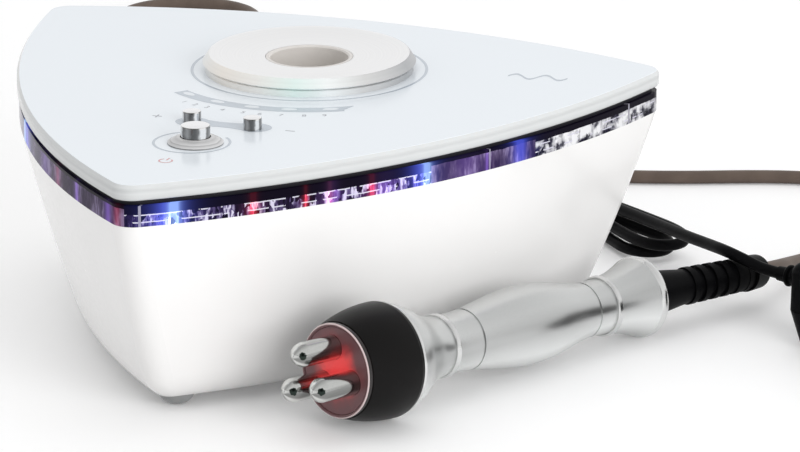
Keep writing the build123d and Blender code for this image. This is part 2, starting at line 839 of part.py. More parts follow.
with BuildPart() as handle_tube:
    with BuildSketch(hand_section):
        with BuildLine():
            handle_curve(0)
            Line((tube_end, tail_radius - 0.5), (tube_end, tail_radius - 0.5 - tube_wall))
            handle_curve(tube_wall)
            Line((ring_end, ring_radius - 0.6 - tube_wall), (ring_end, ring_radius - 0.6))
        make_face()
    revolve(axis=hand_axis)
    with BuildSketch(hand_section) as grooves:
        with Locations((waist_at, waist_radius), (rear_neck_at, rear_neck_radius)):
            Rectangle(0.8, 2 * groove_depth)
    revolve(axis=hand_axis, mode=Mode.SUBTRACT)
save(handle_tube, "handle_tube")

# Handle core, a plastic tube that joins head and tail
core_flange_thick = 2.0
with BuildPart() as handle_core:
    with BuildSketch(hand_section):
        with BuildLine():
            Polyline(
                (collar_end - core_flange_thick, core_radius - core_wall),
                (collar_end - core_flange_thick, head_bore - 0.1),
                (collar_end, head_bore - 0.1),
                (collar_end, core_radius + 3 - 0.1),
                (ring_end + 2, core_radius + 3 - 0.1),
                (ring_end + 2, core_radius),
                (core_end, core_radius),
                (core_end, core_radius - core_wall),
                close=True,
            )
        make_face()
    revolve(axis=hand_axis)
save(handle_core, "handle_core")

# Trim rings on the handle
with BuildPart() as trim_rings:
    with BuildSketch(hand_section):
        with Locations((neck_at, neck_radius + 0.25), (rear_trim_at, rear_trim_radius + 0.25)):
            RectangleRounded(trim_width, 1.1, 0.5)
    revolve(axis=hand_axis)
    add(handle_tube.part, mode=Mode.SUBTRACT)
save(trim_rings, "trim_rings")

# Tail ring and the plug that closes the handle and holds the strain relief
plug_radius = 12.2
with BuildPart() as tail_ring:
    with BuildSketch(hand_section):
        with BuildLine():
            Line((tube_end, plug_radius), (tube_end, tail_radius - 0.8))
            ThreePointArc((tube_end, tail_radius - 0.8), (tail_rest, tail_radius), (tail_end, tail_radius - 0.8))
            Line((tail_end, tail_radius - 0.8), (tail_end, plug_radius))
            Line((tail_end, plug_radius), (tube_end, plug_radius))
        make_face()
    revolve(axis=hand_axis)
save(tail_ring, "tail_ring")
with BuildPart() as tail_plug:
    with BuildSketch(hand_section):
        with BuildLine():
            Polyline(
                (core_end, 0),
                (core_end, core_radius),
                (tube_end - 2, core_radius),
                (tube_end - 2, plug_radius - 1.2),
                (tube_end, plug_radius - 0.1),
                (tail_end - 0.6, plug_radius - 0.1),
                (tail_end + 0.2, plug_radius - 1.0),
                (tail_end + 0.2, 0),
                close=True,
            )
        make_face()
    revolve(axis=hand_axis)
save(tail_plug, "tail_plug")

# Strain relief: a tapering, ribbed sleeve that bends a little to the right and down
relief_start_at = tail_end + 0.2
relief_start = hand_origin + hand_dir * relief_start_at
relief_stop = on_base(*relief_end)
end_turn = math.radians(relief_end_turn)
relief_end_dir = Vector(math.sin(end_turn), math.cos(end_turn), -0.13).normalized()
with BuildLine() as relief_line:
    Spline(relief_start, relief_stop, tangents=[hand_dir, relief_end_dir])
relief_path = relief_line.edges()[0]
relief_length = relief_path.length
ribs_from = 0.36
ribs_to = 0.80


def across_relief(share):
    """A plane square to the strain relief at a share of its length."""
    return Plane(relief_path @ share, x_dir=hand_side, z_dir=relief_path % share)


with BuildPart() as strain_relief:
    for share, radius in ((0.0, relief_root), (0.12, 7.7), (0.3, 6.5), (0.6, relief_waist), (1.0, relief_waist - 0.4)):
        with BuildSketch(across_relief(share)):
            Circle(radius)
    loft()
    for rib in range(relief_ribs):
        share = ribs_from + (ribs_to - ribs_from) * rib / (relief_ribs - 1)
        with BuildSketch(across_relief(share)):
            Circle(relief_rib - 0.12 * rib)
        extrude(amount=relief_rib_width)
    with BuildSketch(across_relief(1.0)):
        Circle(relief_tip)
    extrude(amount=-relief_tip_length, taper=-3)
    fillet(strain_relief.edges().filter_by(GeomType.CIRCLE).sort_by(Axis(relief_stop, relief_end_dir))[-1], 1.6)
save(strain_relief, "strain_relief")


# Cords
def corner_radii(points):
    """The largest tangent arc that each corner of a route allows, from its shorter run."""
    radii = []
    for before, corner, after in zip(points, points[1:], points[2:]):
        arriving = corner - before
        leaving = after - corner
        turn = math.radians(arriving.get_angle(leaving))
        radii.append(0.45 * min(arriving.length, leaving.length) / math.tan(turn / 2))
    return radii


def cord(name, points, diameter):
    """A round cord along a route of straight runs joined by tangent arcs."""
    radii = corner_radii(points)
    print(name, "radii", [round(r, 1) for r in radii])
    print(name, "runs", [round((b - a).length, 1) for a, b in zip(points, points[1:])])
    with BuildPart() as piece:
        with BuildLine() as route:
            FilletPolyline(*points, radius=radii)
        with BuildSketch(Plane(points[0], z_dir=points[1] - points[0])):
            Circle(diameter / 2)
        sweep(path=route.wires()[0])
    length = route.wires()[0].length
    section = math.pi * diameter**2 / 4
    print(name, "length", round(length, 1), "volume ratio", round(piece.part.volume / (section * length), 4))
    return save(piece, name)


# Handpiece plug at the back of the base
hand_plug_plane = hand_socket_plane.offset(socket_flange_thick + 0.3)
hand_plug_radius = 9.0
hand_plug_length = 30.0
hand_plug_relief = 16.0
with BuildPart(hand_plug_plane) as handpiece_plug:
    Cylinder(hand_plug_radius, 16, align=up)
    with Locations((0, 0, 16)):
        Cylinder(7.6, hand_plug_length - 16, align=up)
    Cylinder(hand_socket_radius + 0.2, socket_length - socket_flange_thick, align=up, mode=Mode.SUBTRACT)
    fillet(handpiece_plug.faces().sort_by(Axis.Y)[-1].edges(), 1.5)
save(handpiece_plug, "handpiece_plug")
with BuildPart() as handpiece_plug_relief:
    with BuildSketch(hand_plug_plane.offset(hand_plug_length)):
        Circle(4.6)
    with BuildSketch(hand_plug_plane.offset(hand_plug_length + hand_plug_relief)):
        Circle(3.4)
    loft()
save(handpiece_plug_relief, "handpiece_plug_relief")

hand_plug_end = hand_plug_plane.offset(hand_plug_length + hand_plug_relief).origin

# Handpiece cord, from the strain relief round the right, past the back and into the plug
hand_lie = hand_cord / 2 + table_play
hand_route = [
    relief_stop,
    relief_stop + relief_end_dir * 13.0,
    on_base(151.5, 116.0, 6.6),
    on_base(156.0, 140.0, hand_lie + 0.6),
    on_base(166.0, 166.0, hand_lie),
    on_base(168.0, 196.0, hand_lie),
    on_base(154.0, 222.0, hand_lie),
    on_base(133.0, 233.0, hand_lie),
    on_base(112.0, 233.5, hand_lie),
    on_base(59.0, 209.0, hand_lie),
    on_base(3.0, 199.0, hand_lie),
    on_base(-56.0, 186.0, hand_lie),
    on_base(-107.0, 192.0, hand_lie),
    on_base(-144.0, 222.0, hand_lie),
    on_base(-171.0, 267.5, hand_lie),
    on_base(-201.0, 319.0, hand_lie),
    on_base(-222.1, 351.3, hand_lie),
    on_base(-219.5, 371.8, hand_lie),
    on_base(-204.5, 386.0, hand_lie),
    on_base(-183.9, 387.6, hand_lie),
    on_base(-167.0, 375.8, hand_lie),
    on_base(-158.7, 347.0, hand_lie),
    on_base(-141.0, 293.5, hand_lie),
    on_base(-109.0, 241.5, hand_lie + 1.5),
    on_base(-69.0, 197.5, hand_lie + 6.5),
    on_base(-34.0, 166.0, 24.0),
    hand_plug_end + Vector(0, 22.0, 0),
    hand_plug_end,
]
cord("handpiece_cord", hand_route, hand_cord)

# Power adapter, a small two-part case lying on its back
adapter_length = 76.0
adapter_width = 45.0
adapter_height = 31.0
adapter_seam = 14.2
adapter_corner = 5.0
adapter_draft = 3.0
adapter_relief_length = 19.0
adapter_relief_height = 18.2
adapter_relief_root = 3.6
pin_radius = 2.0
pin_length = 18.0
pin_spread = 19.0
adapter_dir = Vector(0.949, -0.316, 0).normalized()
adapter_face = on_base(180.1, 60.4, 0)
adapter_plane = Plane(adapter_face, x_dir=adapter_dir, z_dir=(0, 0, 1))
relief_mouth = adapter_face + Vector(0, 0, adapter_relief_height)
with BuildPart() as adapter_lower:
    with BuildSketch(adapter_plane.offset(table_play)):
        with Locations((adapter_length / 2, 0)):
            RectangleRounded(adapter_length - 2 * adapter_draft, adapter_width - 2 * adapter_draft, adapter_corner)
    with BuildSketch(adapter_plane.offset(adapter_seam - 0.3)):
        with Locations((adapter_length / 2, 0)):
            RectangleRounded(adapter_length, adapter_width, adapter_corner)
    loft()
    fillet(adapter_lower.faces().sort_by(Axis.Z)[0].edges(), 2.5)
save(adapter_lower, "adapter_lower_case")
with BuildPart() as adapter_upper:
    with BuildSketch(adapter_plane.offset(adapter_seam - 0.3)):
        with Locations((adapter_length / 2, 0)):
            RectangleRounded(adapter_length - 1.2, adapter_width - 1.2, adapter_corner - 0.6)
    extrude(amount=0.3)
    with BuildSketch(adapter_plane.offset(adapter_seam)):
        with Locations((adapter_length / 2, 0)):
            RectangleRounded(adapter_length, adapter_width, adapter_corner)
    extrude(amount=adapter_height - adapter_seam, taper=1.5)
    fillet(adapter_upper.faces().sort_by(Axis.Z)[-1].edges(), 4.0)
    with BuildSketch(Plane(relief_mouth, z_dir=adapter_dir)):
        Circle(adapter_relief_root)
    extrude(amount=2.0, mode=Mode.SUBTRACT)
save(adapter_upper, "adapter_upper_case")
with BuildPart() as adapter_relief:
    with BuildSketch(Plane(relief_mouth + adapter_dir * 2.0, z_dir=adapter_dir * -1)):
        Circle(adapter_relief_root)
    with BuildSketch(Plane(relief_mouth - adapter_dir * adapter_relief_length, z_dir=adapter_dir * -1)):
        Circle(2.6)
    loft()
save(adapter_relief, "adapter_relief")
with BuildPart() as adapter_pins:
    with BuildSketch(Plane(relief_mouth + adapter_dir * adapter_length, x_dir=(0, 0, 1), z_dir=adapter_dir)):
        with Locations((0, -pin_spread / 2), (0, pin_spread / 2)):
            Circle(pin_radius)
    extrude(amount=pin_length)
save(adapter_pins, "adapter_pins")

# Hank of the power cord: the outer shape of its folded strands, with a tie round its middle
hank_length = 116.0
hank_width = 21.5
hank_height = 14.6
hank_corner = 6.0
hank_dir = Vector(0.787, -0.617, 0).normalized()
hank_tip = on_base(109.0, 113.0, 0)
hank_middle = hank_tip - hank_dir * hank_length / 2
hank_side = Vector(0, 0, 1).cross(hank_dir)
with BuildPart() as dc_hank:
    with BuildSketch(Plane(hank_tip - hank_dir * hank_length + Vector(0, 0, table_play), x_dir=hank_side, z_dir=hank_dir)):
        with Locations((0, hank_height / 2)):
            RectangleRounded(hank_width, hank_height, hank_corner)
    extrude(amount=hank_length)
    fillet(dc_hank.faces().sort_by(Axis(hank_tip, hank_dir))[-1].edges(), 3)
    fillet(dc_hank.faces().sort_by(Axis(hank_tip, hank_dir))[0].edges(), 3)
save(dc_hank, "dc_hank")
tie_width = 5.0
tie_thick = 0.8
with BuildPart() as hank_tie:
    with BuildSketch(Plane(hank_middle + Vector(0, 0, table_play), x_dir=hank_side, z_dir=hank_dir)):
        with Locations((0, hank_height / 2)):
            RectangleRounded(hank_width + 2 * tie_thick, hank_height + 2 * table_play, hank_corner)
            RectangleRounded(hank_width, hank_height, hank_corner, mode=Mode.SUBTRACT)
    extrude(amount=tie_width)
save(hank_tie, "hank_tie")

# Power cord from the hank to the adapter, over the strain relief of the handpiece
lead_start = hank_tip - hank_dir * 46.0 - hank_side * 8.0 + Vector(0, 0, hank_height - 0.6)
lead_route = [
    lead_start,
    on_base(98.5, 109.0, 17.6),
    on_base(119.0, 90.5, 21.6),
    on_base(131.0, 80.5, 25.6),
    on_base(144.0, 72.5, 24.9),
    relief_mouth - adapter_dir * (adapter_relief_length + 7.0),
    relief_mouth - adapter_dir * adapter_relief_length,
]
cord("adapter_lead", lead_route, power_cord)

# Plug and lead at the socket for power
dc_plug_length = 26.0
dc_plug_relief = 12.0
dc_plug_plane = dc_socket_plane.offset(1.4 + 0.3)
with BuildPart(dc_plug_plane) as dc_plug:
    Cylinder(5.0, dc_plug_length, align=up)
    Cylinder(dc_bore - 0.1, 9.0, align=down)
    with Locations((0, 0, -9.0)):
        Cylinder(1.1, 9.0, align=up, mode=Mode.SUBTRACT)
    fillet(dc_plug.faces().sort_by(Axis.Y)[-1].edges(), 1.5)
save(dc_plug, "dc_plug")
with BuildPart() as dc_plug_relief_sleeve:
    with BuildSketch(dc_plug_plane.offset(dc_plug_length)):
        Circle(3.2)
    with BuildSketch(dc_plug_plane.offset(dc_plug_length + dc_plug_relief)):
        Circle(2.3)
    loft()
save(dc_plug_relief_sleeve, "dc_plug_relief")
lead_end = hank_tip - hank_dir * (hank_length - 38) - hank_side * (hank_width / 2) + Vector(0, 0, 6.0)
dc_plug_end = dc_plug_plane.offset(dc_plug_length + dc_plug_relief).origin
socket_route = [
    dc_plug_end,
    dc_plug_end + Vector(0, 12.0, 0),
    dc_plug_end + Vector(2.2, 24.0, -7.4),
    lead_end - hank_side * 9.0 + Vector(0, 0, 7.0),
    lead_end,
]
cord("socket_lead", socket_route, power_cord)
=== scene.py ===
"""Studio scene of a desk-top radio frequency unit with a glass top, a lit band and a corded handpiece."""

import json
import logging
import math
from dataclasses import dataclass
from enum import Enum
from typing import ClassVar, Iterable, Sequence

import bmesh
import bpy
from mathutils import Matrix, Vector

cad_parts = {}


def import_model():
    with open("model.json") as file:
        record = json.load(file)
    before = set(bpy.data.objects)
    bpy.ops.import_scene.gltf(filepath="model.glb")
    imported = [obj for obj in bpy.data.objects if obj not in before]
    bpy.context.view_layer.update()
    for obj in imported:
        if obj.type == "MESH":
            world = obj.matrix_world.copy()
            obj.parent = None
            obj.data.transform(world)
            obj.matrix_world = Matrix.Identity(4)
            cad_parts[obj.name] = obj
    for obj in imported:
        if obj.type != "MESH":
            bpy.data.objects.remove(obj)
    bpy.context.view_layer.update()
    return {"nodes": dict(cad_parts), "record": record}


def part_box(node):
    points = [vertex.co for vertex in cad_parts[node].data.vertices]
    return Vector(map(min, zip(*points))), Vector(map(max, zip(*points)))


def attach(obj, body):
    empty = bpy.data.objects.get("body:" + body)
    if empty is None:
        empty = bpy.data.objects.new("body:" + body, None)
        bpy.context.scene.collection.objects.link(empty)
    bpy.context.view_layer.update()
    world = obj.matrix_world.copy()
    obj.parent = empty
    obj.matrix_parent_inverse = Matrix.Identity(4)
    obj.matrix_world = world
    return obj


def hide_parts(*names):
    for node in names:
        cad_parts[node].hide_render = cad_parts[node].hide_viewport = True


log = logging.getLogger("scene")

MM = 0.001
FULL_TURN = 2 * math.pi
CONTROL_RIGHT = 2.2
HOLDER_AHEAD = 21.3

Colour = tuple[float, float, float]
Spot = tuple[float, float, float]
Stops = Sequence[tuple[float, Colour]]
Levels = tuple[tuple[float, float], ...]
Socket = bpy.types.NodeSocket
Source = float | Colour | bpy.types.NodeSocket

WHITE: Colour = (1.0, 1.0, 1.0)
EVEN: Spot = (1.0, 1.0, 1.0)
IN_MM: Spot = (1 / MM, 1 / MM, 1 / MM)


# Names


class Body(Enum):
    """The moving body that the new pieces ride on."""

    ROOT = "root"


class Slot(Enum):
    """The names of the record's finishes that the new pieces are passed with."""

    GLASS = "white_glass"
    HOLDER = "silver_holder"
    WELL = "well_plastic"
    CORD_GREY = "cord_grey"
    CORD_BLACK = "cord_black"
    RELIEF = "relief_rubber"


class Finish(Enum):
    """The finishes of the part, each with its material's name."""

    SHELL = "shell_white"
    FOOT = "foot_clear"
    SCREW = "screw_steel"
    BAND = "band_smoky"
    FRAME = "frame_dark"
    STRIP = "strip_film"
    BLUE_LIGHT = "light_blue"
    PALE_LIGHT = "light_pale"
    GLASS = "glass_white"
    HOLDER = "holder_silver"
    WELL = "well_plastic"
    POWER_CAP = "power_button_chrome"
    PLUS_CAP = "plus_button_chrome"
    MINUS_CAP = "minus_button_chrome"
    BEZEL = "bezel_clear"
    BOARD = "board_green"
    SWITCH = "switch_black"
    FERRITE = "ferrite"
    SLEEVE = "capacitor_sleeve"
    SINK = "sink_metal"
    RIBBON = "ribbon_grey"
    SOCKET = "socket_black"
    COLLAR = "collar_black"
    WINDOW = "window_red"
    RED_LAMP = "lamp_red"
    ELECTRODE_1 = "electrode_1_steel"
    ELECTRODE_2 = "electrode_2_steel"
    ELECTRODE_3 = "electrode_3_steel"
    INSULATOR = "insulator_white"
    HANDLE = "handle_satin"
    TRIM = "trim_satin"
    RIM = "rim_frosted"
    RELIEF = "relief_black"
    CORD_GREY = "cord_grey"
    CORD_BLACK = "cord_black"
    ADAPTER = "adapter_black"
    PIN = "pin_nickel"
    PRINT_GREY = "print_grey"
    PRINT_FINE = "print_fine"
    PRINT_RED = "print_red"
    PRINT_WHITE = "print_white"


# Places on the part


@dataclass(frozen=True)
class Base:
    """The middle of the base on the table, and the heights of its layers in millimetres."""

    x: float
    y: float
    glass_top: float = 88.0
    band_top: float = 80.7
    shell_top: float = 73.5

    def at(self, x: float, y: float, z: float) -> Vector:
        """A point given in millimetres from the middle of the base, in metres in the frame.

        Args:
            x: distance to the right.
            y: distance to the back.
            z: height over the table.

        Returns:
            The point in the frame.
        """
        return Vector((self.x + x * MM, self.y + y * MM, z * MM))


def find_base(frame: dict) -> Base:
    """Work out the middle of the base from the well, which the record states as a mount.


    Returns:
        The base's place.
    """
    well = next(m for m in frame["record"]["mounts"] if m["name"] == "handpiece_well")
    return Base(x=well["pos_m"][0] - CONTROL_RIGHT * MM, y=well["pos_m"][1] - HOLDER_AHEAD * MM)


@dataclass(frozen=True)
class Hand:
    """Where the handpiece lies: its axis towards the head, and points on it."""

    axis: Vector
    tail: Vector
    window: Vector
    rim: Vector
    rods: tuple[tuple[Vector, Vector], ...]


def middle_of(node: str) -> Vector:
    """The middle of a solid's box."""
    low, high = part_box(node)
    return (low + high) / 2


def find_hand(toward_eye: Vector, nose_radius: float = 4.2) -> Hand:
    """Find the handpiece from the boxes of its round pieces.

    Args:
        toward_eye: the direction to the camera, where a dark reflection of what lies behind it is painted
            on each electrode's nose.
        nose_radius: the radius of the electrodes' round noses, in millimetres.

    Returns:
        The handpiece's place.
    """
    tail = middle_of("tail_ring")
    rods = []
    for name in ("electrode_1", "electrode_2", "electrode_3"):
        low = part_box(name)[0]
        middle = middle_of(name)
        nose = Vector((low.x + nose_radius * MM, low.y + nose_radius * MM, middle.z))
        # where the painted dark reflection lies on the nose
        rods.append((middle, nose + toward_eye * nose_radius * MM))
    axis = (middle_of("head_ring") - tail).normalized()
    return Hand(axis, tail, middle_of("head_window"), middle_of("window_ring"), tuple(rods))


# Node trees


def shaded(colour: Colour, share: float) -> Colour:
    """A colour times a number."""
    return tuple(level * share for level in colour)


class Nodes:
    """A node tree, with short ways to add and join its nodes."""

    def __init__(self, tree: bpy.types.NodeTree) -> None:
        """Take the tree.

        Args:
            tree: the tree that gets the nodes.
        """
        self.tree = tree

    def node(self, kind: str, **settings: object) -> bpy.types.Node:
        """Add a node.

        Args:
            kind: the node's type name without its Shader Node prefix.
            settings: attributes to set on it.

        Returns:
            The node.
        """
        made = self.tree.nodes.new("ShaderNode" + kind)
        for name, value in settings.items():
            setattr(made, name, value)
        return made

    def join(self, source: Socket, target: Socket) -> None:
        """Link two sockets."""
        self.tree.links.new(source, target)

    def feed(self, socket: Socket, source: Source) -> None:
        """Set a socket to a number or a colour, or link it from another socket.

        Args:
            socket: the socket.
            source: what it gets.
        """
        if isinstance(source, Socket):
            self.join(source, socket)
        elif socket.type == "RGBA":
            socket.default_value = (*source, 1.0)
        else:
            socket.default_value = source

    def maths(self, operation: str, *terms: Source, clamp: bool = False) -> Socket:
        """One Math node.

        Args:
            operation: the node's operation.
            terms: its numbers or sockets, in order.
            clamp: whether the result is kept from 0 to 1.

        Returns:
            The result's socket.
        """
        made = self.node("Math", operation=operation, use_clamp=clamp)
        for socket, term in zip(made.inputs, terms):
            self.feed(socket, term)
        return made.outputs[0]

    def vector(self, operation: str, first: Socket, second: Sequence[float] = EVEN) -> bpy.types.Node:
        """One Vector Math node.

        Args:
            operation: the node's operation.
            first: its first vector.
            second: its second vector, where it takes two.

        Returns:
            The node.
        """
        made = self.node("VectorMath", operation=operation)
        self.join(first, made.inputs[0])
        made.inputs[1].default_value = second
        return made

    def length(self, vector: Socket) -> Socket:
        """A vector's length."""
        return self.vector("LENGTH", vector).outputs["Value"]

    def dot(self, vector: Socket, axis: Vector) -> Socket:
        """How far a vector reaches along an axis."""
        return self.vector("DOT_PRODUCT", vector, axis).outputs["Value"]

    def axes(self, vector: Socket) -> bpy.types.NodeOutputs:
        """Take a vector apart.

        Args:
            vector: the vector.

        Returns:
            Its three numbers, by the names X, Y and Z.
        """
        split = self.node("SeparateXYZ")
        self.join(vector, split.inputs[0])
        return split.outputs

    def turn(self, across: Socket, ahead: Socket, start: float) -> Socket:
        """How far round an axis a point is.

        Args:
            across: its distance along one axis.
            ahead: its distance along the axis where the turn is measured from.
            start: where the turn starts, as a share of it.

        Returns:
            The socket of a share from 0 to 1.
        """
        angle = self.maths("ARCTAN2", across, ahead)
        return self.maths("FRACT", self.maths("ADD", self.maths("DIVIDE", angle, FULL_TURN), start))

    def waver(self, source: Socket, pattern: Socket, reach: float) -> Socket:
        """Let a number stray with a pattern.

        Args:
            source: the number.
            pattern: a pattern with an average of 0.5.
            reach: how far the whole pattern moves the number.

        Returns:
            The socket of the straying number.
        """
        return self.maths("MULTIPLY_ADD", self.maths("SUBTRACT", pattern, 0.5), reach, source)

    def between(self, source: Socket, low: float, high: float) -> Socket:
        """1 where a number lies between two others, or else 0."""
        above = self.maths("GREATER_THAN", source, low)
        return self.maths("MULTIPLY", above, self.maths("LESS_THAN", source, high))

    def ramp(self, source: Socket, stops: Stops) -> Socket:
        """Colours along a number.

        Args:
            source: the number's socket.
            stops: places from 0 to 1 and their colours.

        Returns:
            The colour's socket.
        """
        made = self.node("ValToRGB")
        elements = made.color_ramp.elements
        while len(elements) < len(stops):
            elements.new(0.5)
        for element, (spot, colour) in zip(elements, stops):
            element.position = spot
            element.color = (*colour, 1.0)
        self.join(source, made.inputs[0])
        return made.outputs[0]

    def greys(self, source: Socket, levels: Levels) -> Socket:
        """Grey levels along a number, as ramp gives colours."""
        return self.ramp(source, [(spot, (level, level, level)) for spot, level in levels])

    def mix(self, share: Source, first: Source, second: Source, blend: str = "MIX") -> Socket:
        """Mix two colours.

        Args:
            share: how much of the second, as a number or socket.
            first: a colour or socket.
            second: a colour or socket.
            blend: the way they mix.

        Returns:
            The colour's socket.
        """
        made = self.node("Mix", data_type="RGBA", blend_type=blend)
        self.feed(made.inputs["Factor"], share)
        self.feed(made.inputs["A"], first)
        self.feed(made.inputs["B"], second)
        return made.outputs["Result"]

    def times(self, first: Source, second: Source) -> Socket:
        """One colour times another."""
        return self.mix(1.0, first, second, "MULTIPLY")


class Surface(Nodes):
    """A material's nodes, which end in its shader."""

    def __init__(self, name: str) -> None:
        """Start a material.

        Args:
            name: the material's name.
        """
        self.material = bpy.data.materials.new(name)
        self.material.use_nodes = True
        super().__init__(self.material.node_tree)
        self.shader = self.tree.nodes["Principled BSDF"]

    def place(self, scale: Spot = EVEN, centre: Vector | None = None) -> Socket:
        """Object coordinates, centred and scaled.

        Args:
            scale: how much each axis is multiplied by.
            centre: the point that becomes the origin, in metres.

        Returns:
            The vector's socket.
        """
        source = self.node("TexCoord").outputs["Object"]
        if centre is not None:
            source = self.vector("SUBTRACT", source, centre).outputs[0]
        return self.vector("MULTIPLY", source, scale).outputs[0]

    def noise(self, size_mm: float, detail: float = 2.0, stretch: Spot = EVEN) -> Socket:
        """A noise pattern with grains of about one size.

        Args:
            size_mm: the size of a grain.
            detail: the noise's detail.
            stretch: how much finer the grains are along each axis.

        Returns:
            The pattern's socket, about 0.5 on average.
        """
        made = self.node("TexNoise")
        made.inputs["Scale"].default_value = 1.0 / (size_mm * MM)
        made.inputs["Detail"].default_value = detail
        self.join(self.place(stretch), made.inputs["Vector"])
        return made.outputs["Fac"]

    def bump(self, height: Socket, depth_mm: float, strength: float = 0.2) -> None:
        """Raise the surface by a pattern.

        Args:
            height: the pattern's socket.
            depth_mm: how deep the pattern is.
            strength: how strongly it shows.
        """
        made = self.node("Bump")
        made.inputs["Distance"].default_value = depth_mm * MM
        made.inputs["Strength"].default_value = strength
        self.join(height, made.inputs["Height"])
        self.join(made.outputs[0], self.shader.inputs["Normal"])

    def colour(self, source: Source) -> None:
        """Set or link the shader's base colour."""
        self.feed(self.shader.inputs["Base Color"], source)

    def glow(self, source: Socket, strength: float) -> None:
        """Let the surface give light of a colour."""
        self.join(source, self.shader.inputs["Emission Color"])
        self.set(Emission_Strength=strength)

    def roughness(self, pattern: Socket, middle: float, spread: float) -> None:
        """Let the roughness vary with a pattern.

        Args:
            pattern: the pattern's socket.
            middle: the roughness on average.
            spread: how much it varies in all.
        """
        rough = self.maths("MULTIPLY_ADD", pattern, spread, middle - spread / 2)
        self.join(rough, self.shader.inputs["Roughness"])

    def set(self, **numbers: float) -> None:
        """Set numbers on the shader's own sockets, named with underscores for spaces."""
        for name, number in numbers.items():
            self.shader.inputs[name.replace("_", " ")].default_value = number


# Finishes


class Coating:
    """A finish, which makes its own material."""

    def build(self, name: str) -> bpy.types.Material:
        """Make the material.

        Args:
            name: its name.

        Returns:
            The material.
        """
        surface = Surface(name)
        self.paint(surface)
        return surface.material

    def paint(self, surface: Surface) -> None:
        """Add the finish's nodes to a material."""


@dataclass(frozen=True)
class Plastic(Coating):
    """A moulded plastic: a colour with a faint cloudiness, a mould texture and a gloss."""

    colour: Colour
    roughness: float = 0.35
    rough_spread: float = 0.12
    grain_mm: float = 0.6
    grain_depth_mm: float = 0.02
    cloud_mm: float = 38.0
    tint: float = 0.03
    coat: float = 0.0
    shine: float = 0.5

    def paint(self, surface: Surface) -> None:
        """Cloud the colour a little, and give it a mould texture.

        Args:
            surface: the material's nodes.
        """
        dark = shaded(self.colour, 1.0 - self.tint)
        cloud = surface.noise(self.cloud_mm, 3.0)
        surface.colour(surface.ramp(cloud, [(0.3, dark), (0.7, self.colour)]))
        grain = surface.noise(self.grain_mm)
        surface.roughness(grain, self.roughness, self.rough_spread)
        surface.bump(grain, self.grain_depth_mm, 0.25)
        surface.set(Coat_Weight=self.coat, Coat_Roughness=0.08, Specular_IOR_Level=self.shine)


def ink(colour: Colour, tint: float = 0.05) -> Plastic:
    """A glossy print under the glass's own shine."""
    return Plastic(colour, roughness=0.20, grain_mm=1.0, grain_depth_mm=0.0, tint=tint, coat=0.30)


@dataclass(frozen=True)
class Metal(Coating):
    """A plain metal surface with fine grains."""

    colour: Colour
    roughness: float = 0.25
    rough_spread: float = 0.10
    grain_mm: float = 0.25
    grain_depth_mm: float = 0.01
    cloud_mm: float = 14.0
    tint: float = 0.07

    def paint(self, surface: Surface) -> None:
        """Give the metal its grains.

        Args:
            surface: the material's nodes.
        """
        grain = surface.noise(self.grain_mm, 3.0)
        dull = shaded(self.colour, 1.0 - self.tint)
        surface.colour(surface.ramp(surface.noise(self.cloud_mm), [(0.35, dull), (0.65, self.colour)]))
        surface.roughness(grain, self.roughness, self.rough_spread)
        surface.bump(grain, self.grain_depth_mm)
        surface.set(Metallic=1.0)


@dataclass(frozen=True)
class Turned(Coating):
    """A metal turned on a lathe: fine rings round an upright axis, and painted soft reflections round its
    side.
    """

    colour: Colour
    centre: Vector
    roughness: float
    rough_spread: float = 0.14
    pitch_mm: float = 0.6
    groove_mm: float = 0.006
    tint: float = 0.04
    side_from: float = 35.2
    side_dulling: float = 0.6
    # painted reflections round the side: light and dark bands, with warm and green tints, by the turn round
    # the axis
    side_tones: Stops = (
        (0.00, (0.44, 0.45, 0.46)), (0.10, (0.50, 0.50, 0.51)), (0.20, (1.0, 1.0, 1.0)),
        (0.58, (0.90, 0.90, 0.88)), (0.66, (1.0, 0.95, 0.88)), (0.73, (0.98, 0.97, 0.93)),
        (0.79, (0.86, 1.0, 0.95)), (0.84, (0.97, 1.0, 0.99)), (0.90, (0.70, 0.70, 0.69)),
        (1.00, (0.44, 0.45, 0.46)),
    )

    def paint(self, surface: Surface) -> None:
        """Draw the lathe's rings, and paint the reflections round the side.

        Args:
            surface: the material's nodes.
        """
        away = surface.place(centre=self.centre)
        reach = surface.length(surface.vector("MULTIPLY", away, (1.0, 1.0, 0.0)).outputs[0])
        rings = surface.node("TexNoise", noise_dimensions="1D")
        rings.inputs["Scale"].default_value = 1.0 / (self.pitch_mm * MM)
        rings.inputs["Detail"].default_value = 4.0
        surface.join(reach, rings.inputs["W"])
        grooves = rings.outputs["Fac"]
        dull = shaded(self.colour, 1.0 - self.tint)
        body = surface.ramp(grooves, [(0.35, dull), (0.65, self.colour)])
        axes = surface.axes(away)
        # the painted reflections round the side
        tones = surface.ramp(surface.turn(axes["Y"], axes["X"], 1.0), self.side_tones)
        side = surface.maths("GREATER_THAN", reach, self.side_from * MM)
        surface.colour(surface.times(body, surface.mix(side, WHITE, tones)))
        surface.roughness(grooves, self.roughness, self.rough_spread)
        surface.bump(grooves, self.groove_mm)
        # the side is made less metallic so that its painted reflections show
        metallic = surface.maths("SUBTRACT", 1.0, surface.maths("MULTIPLY", side, self.side_dulling))
        surface.join(metallic, surface.shader.inputs["Metallic"])


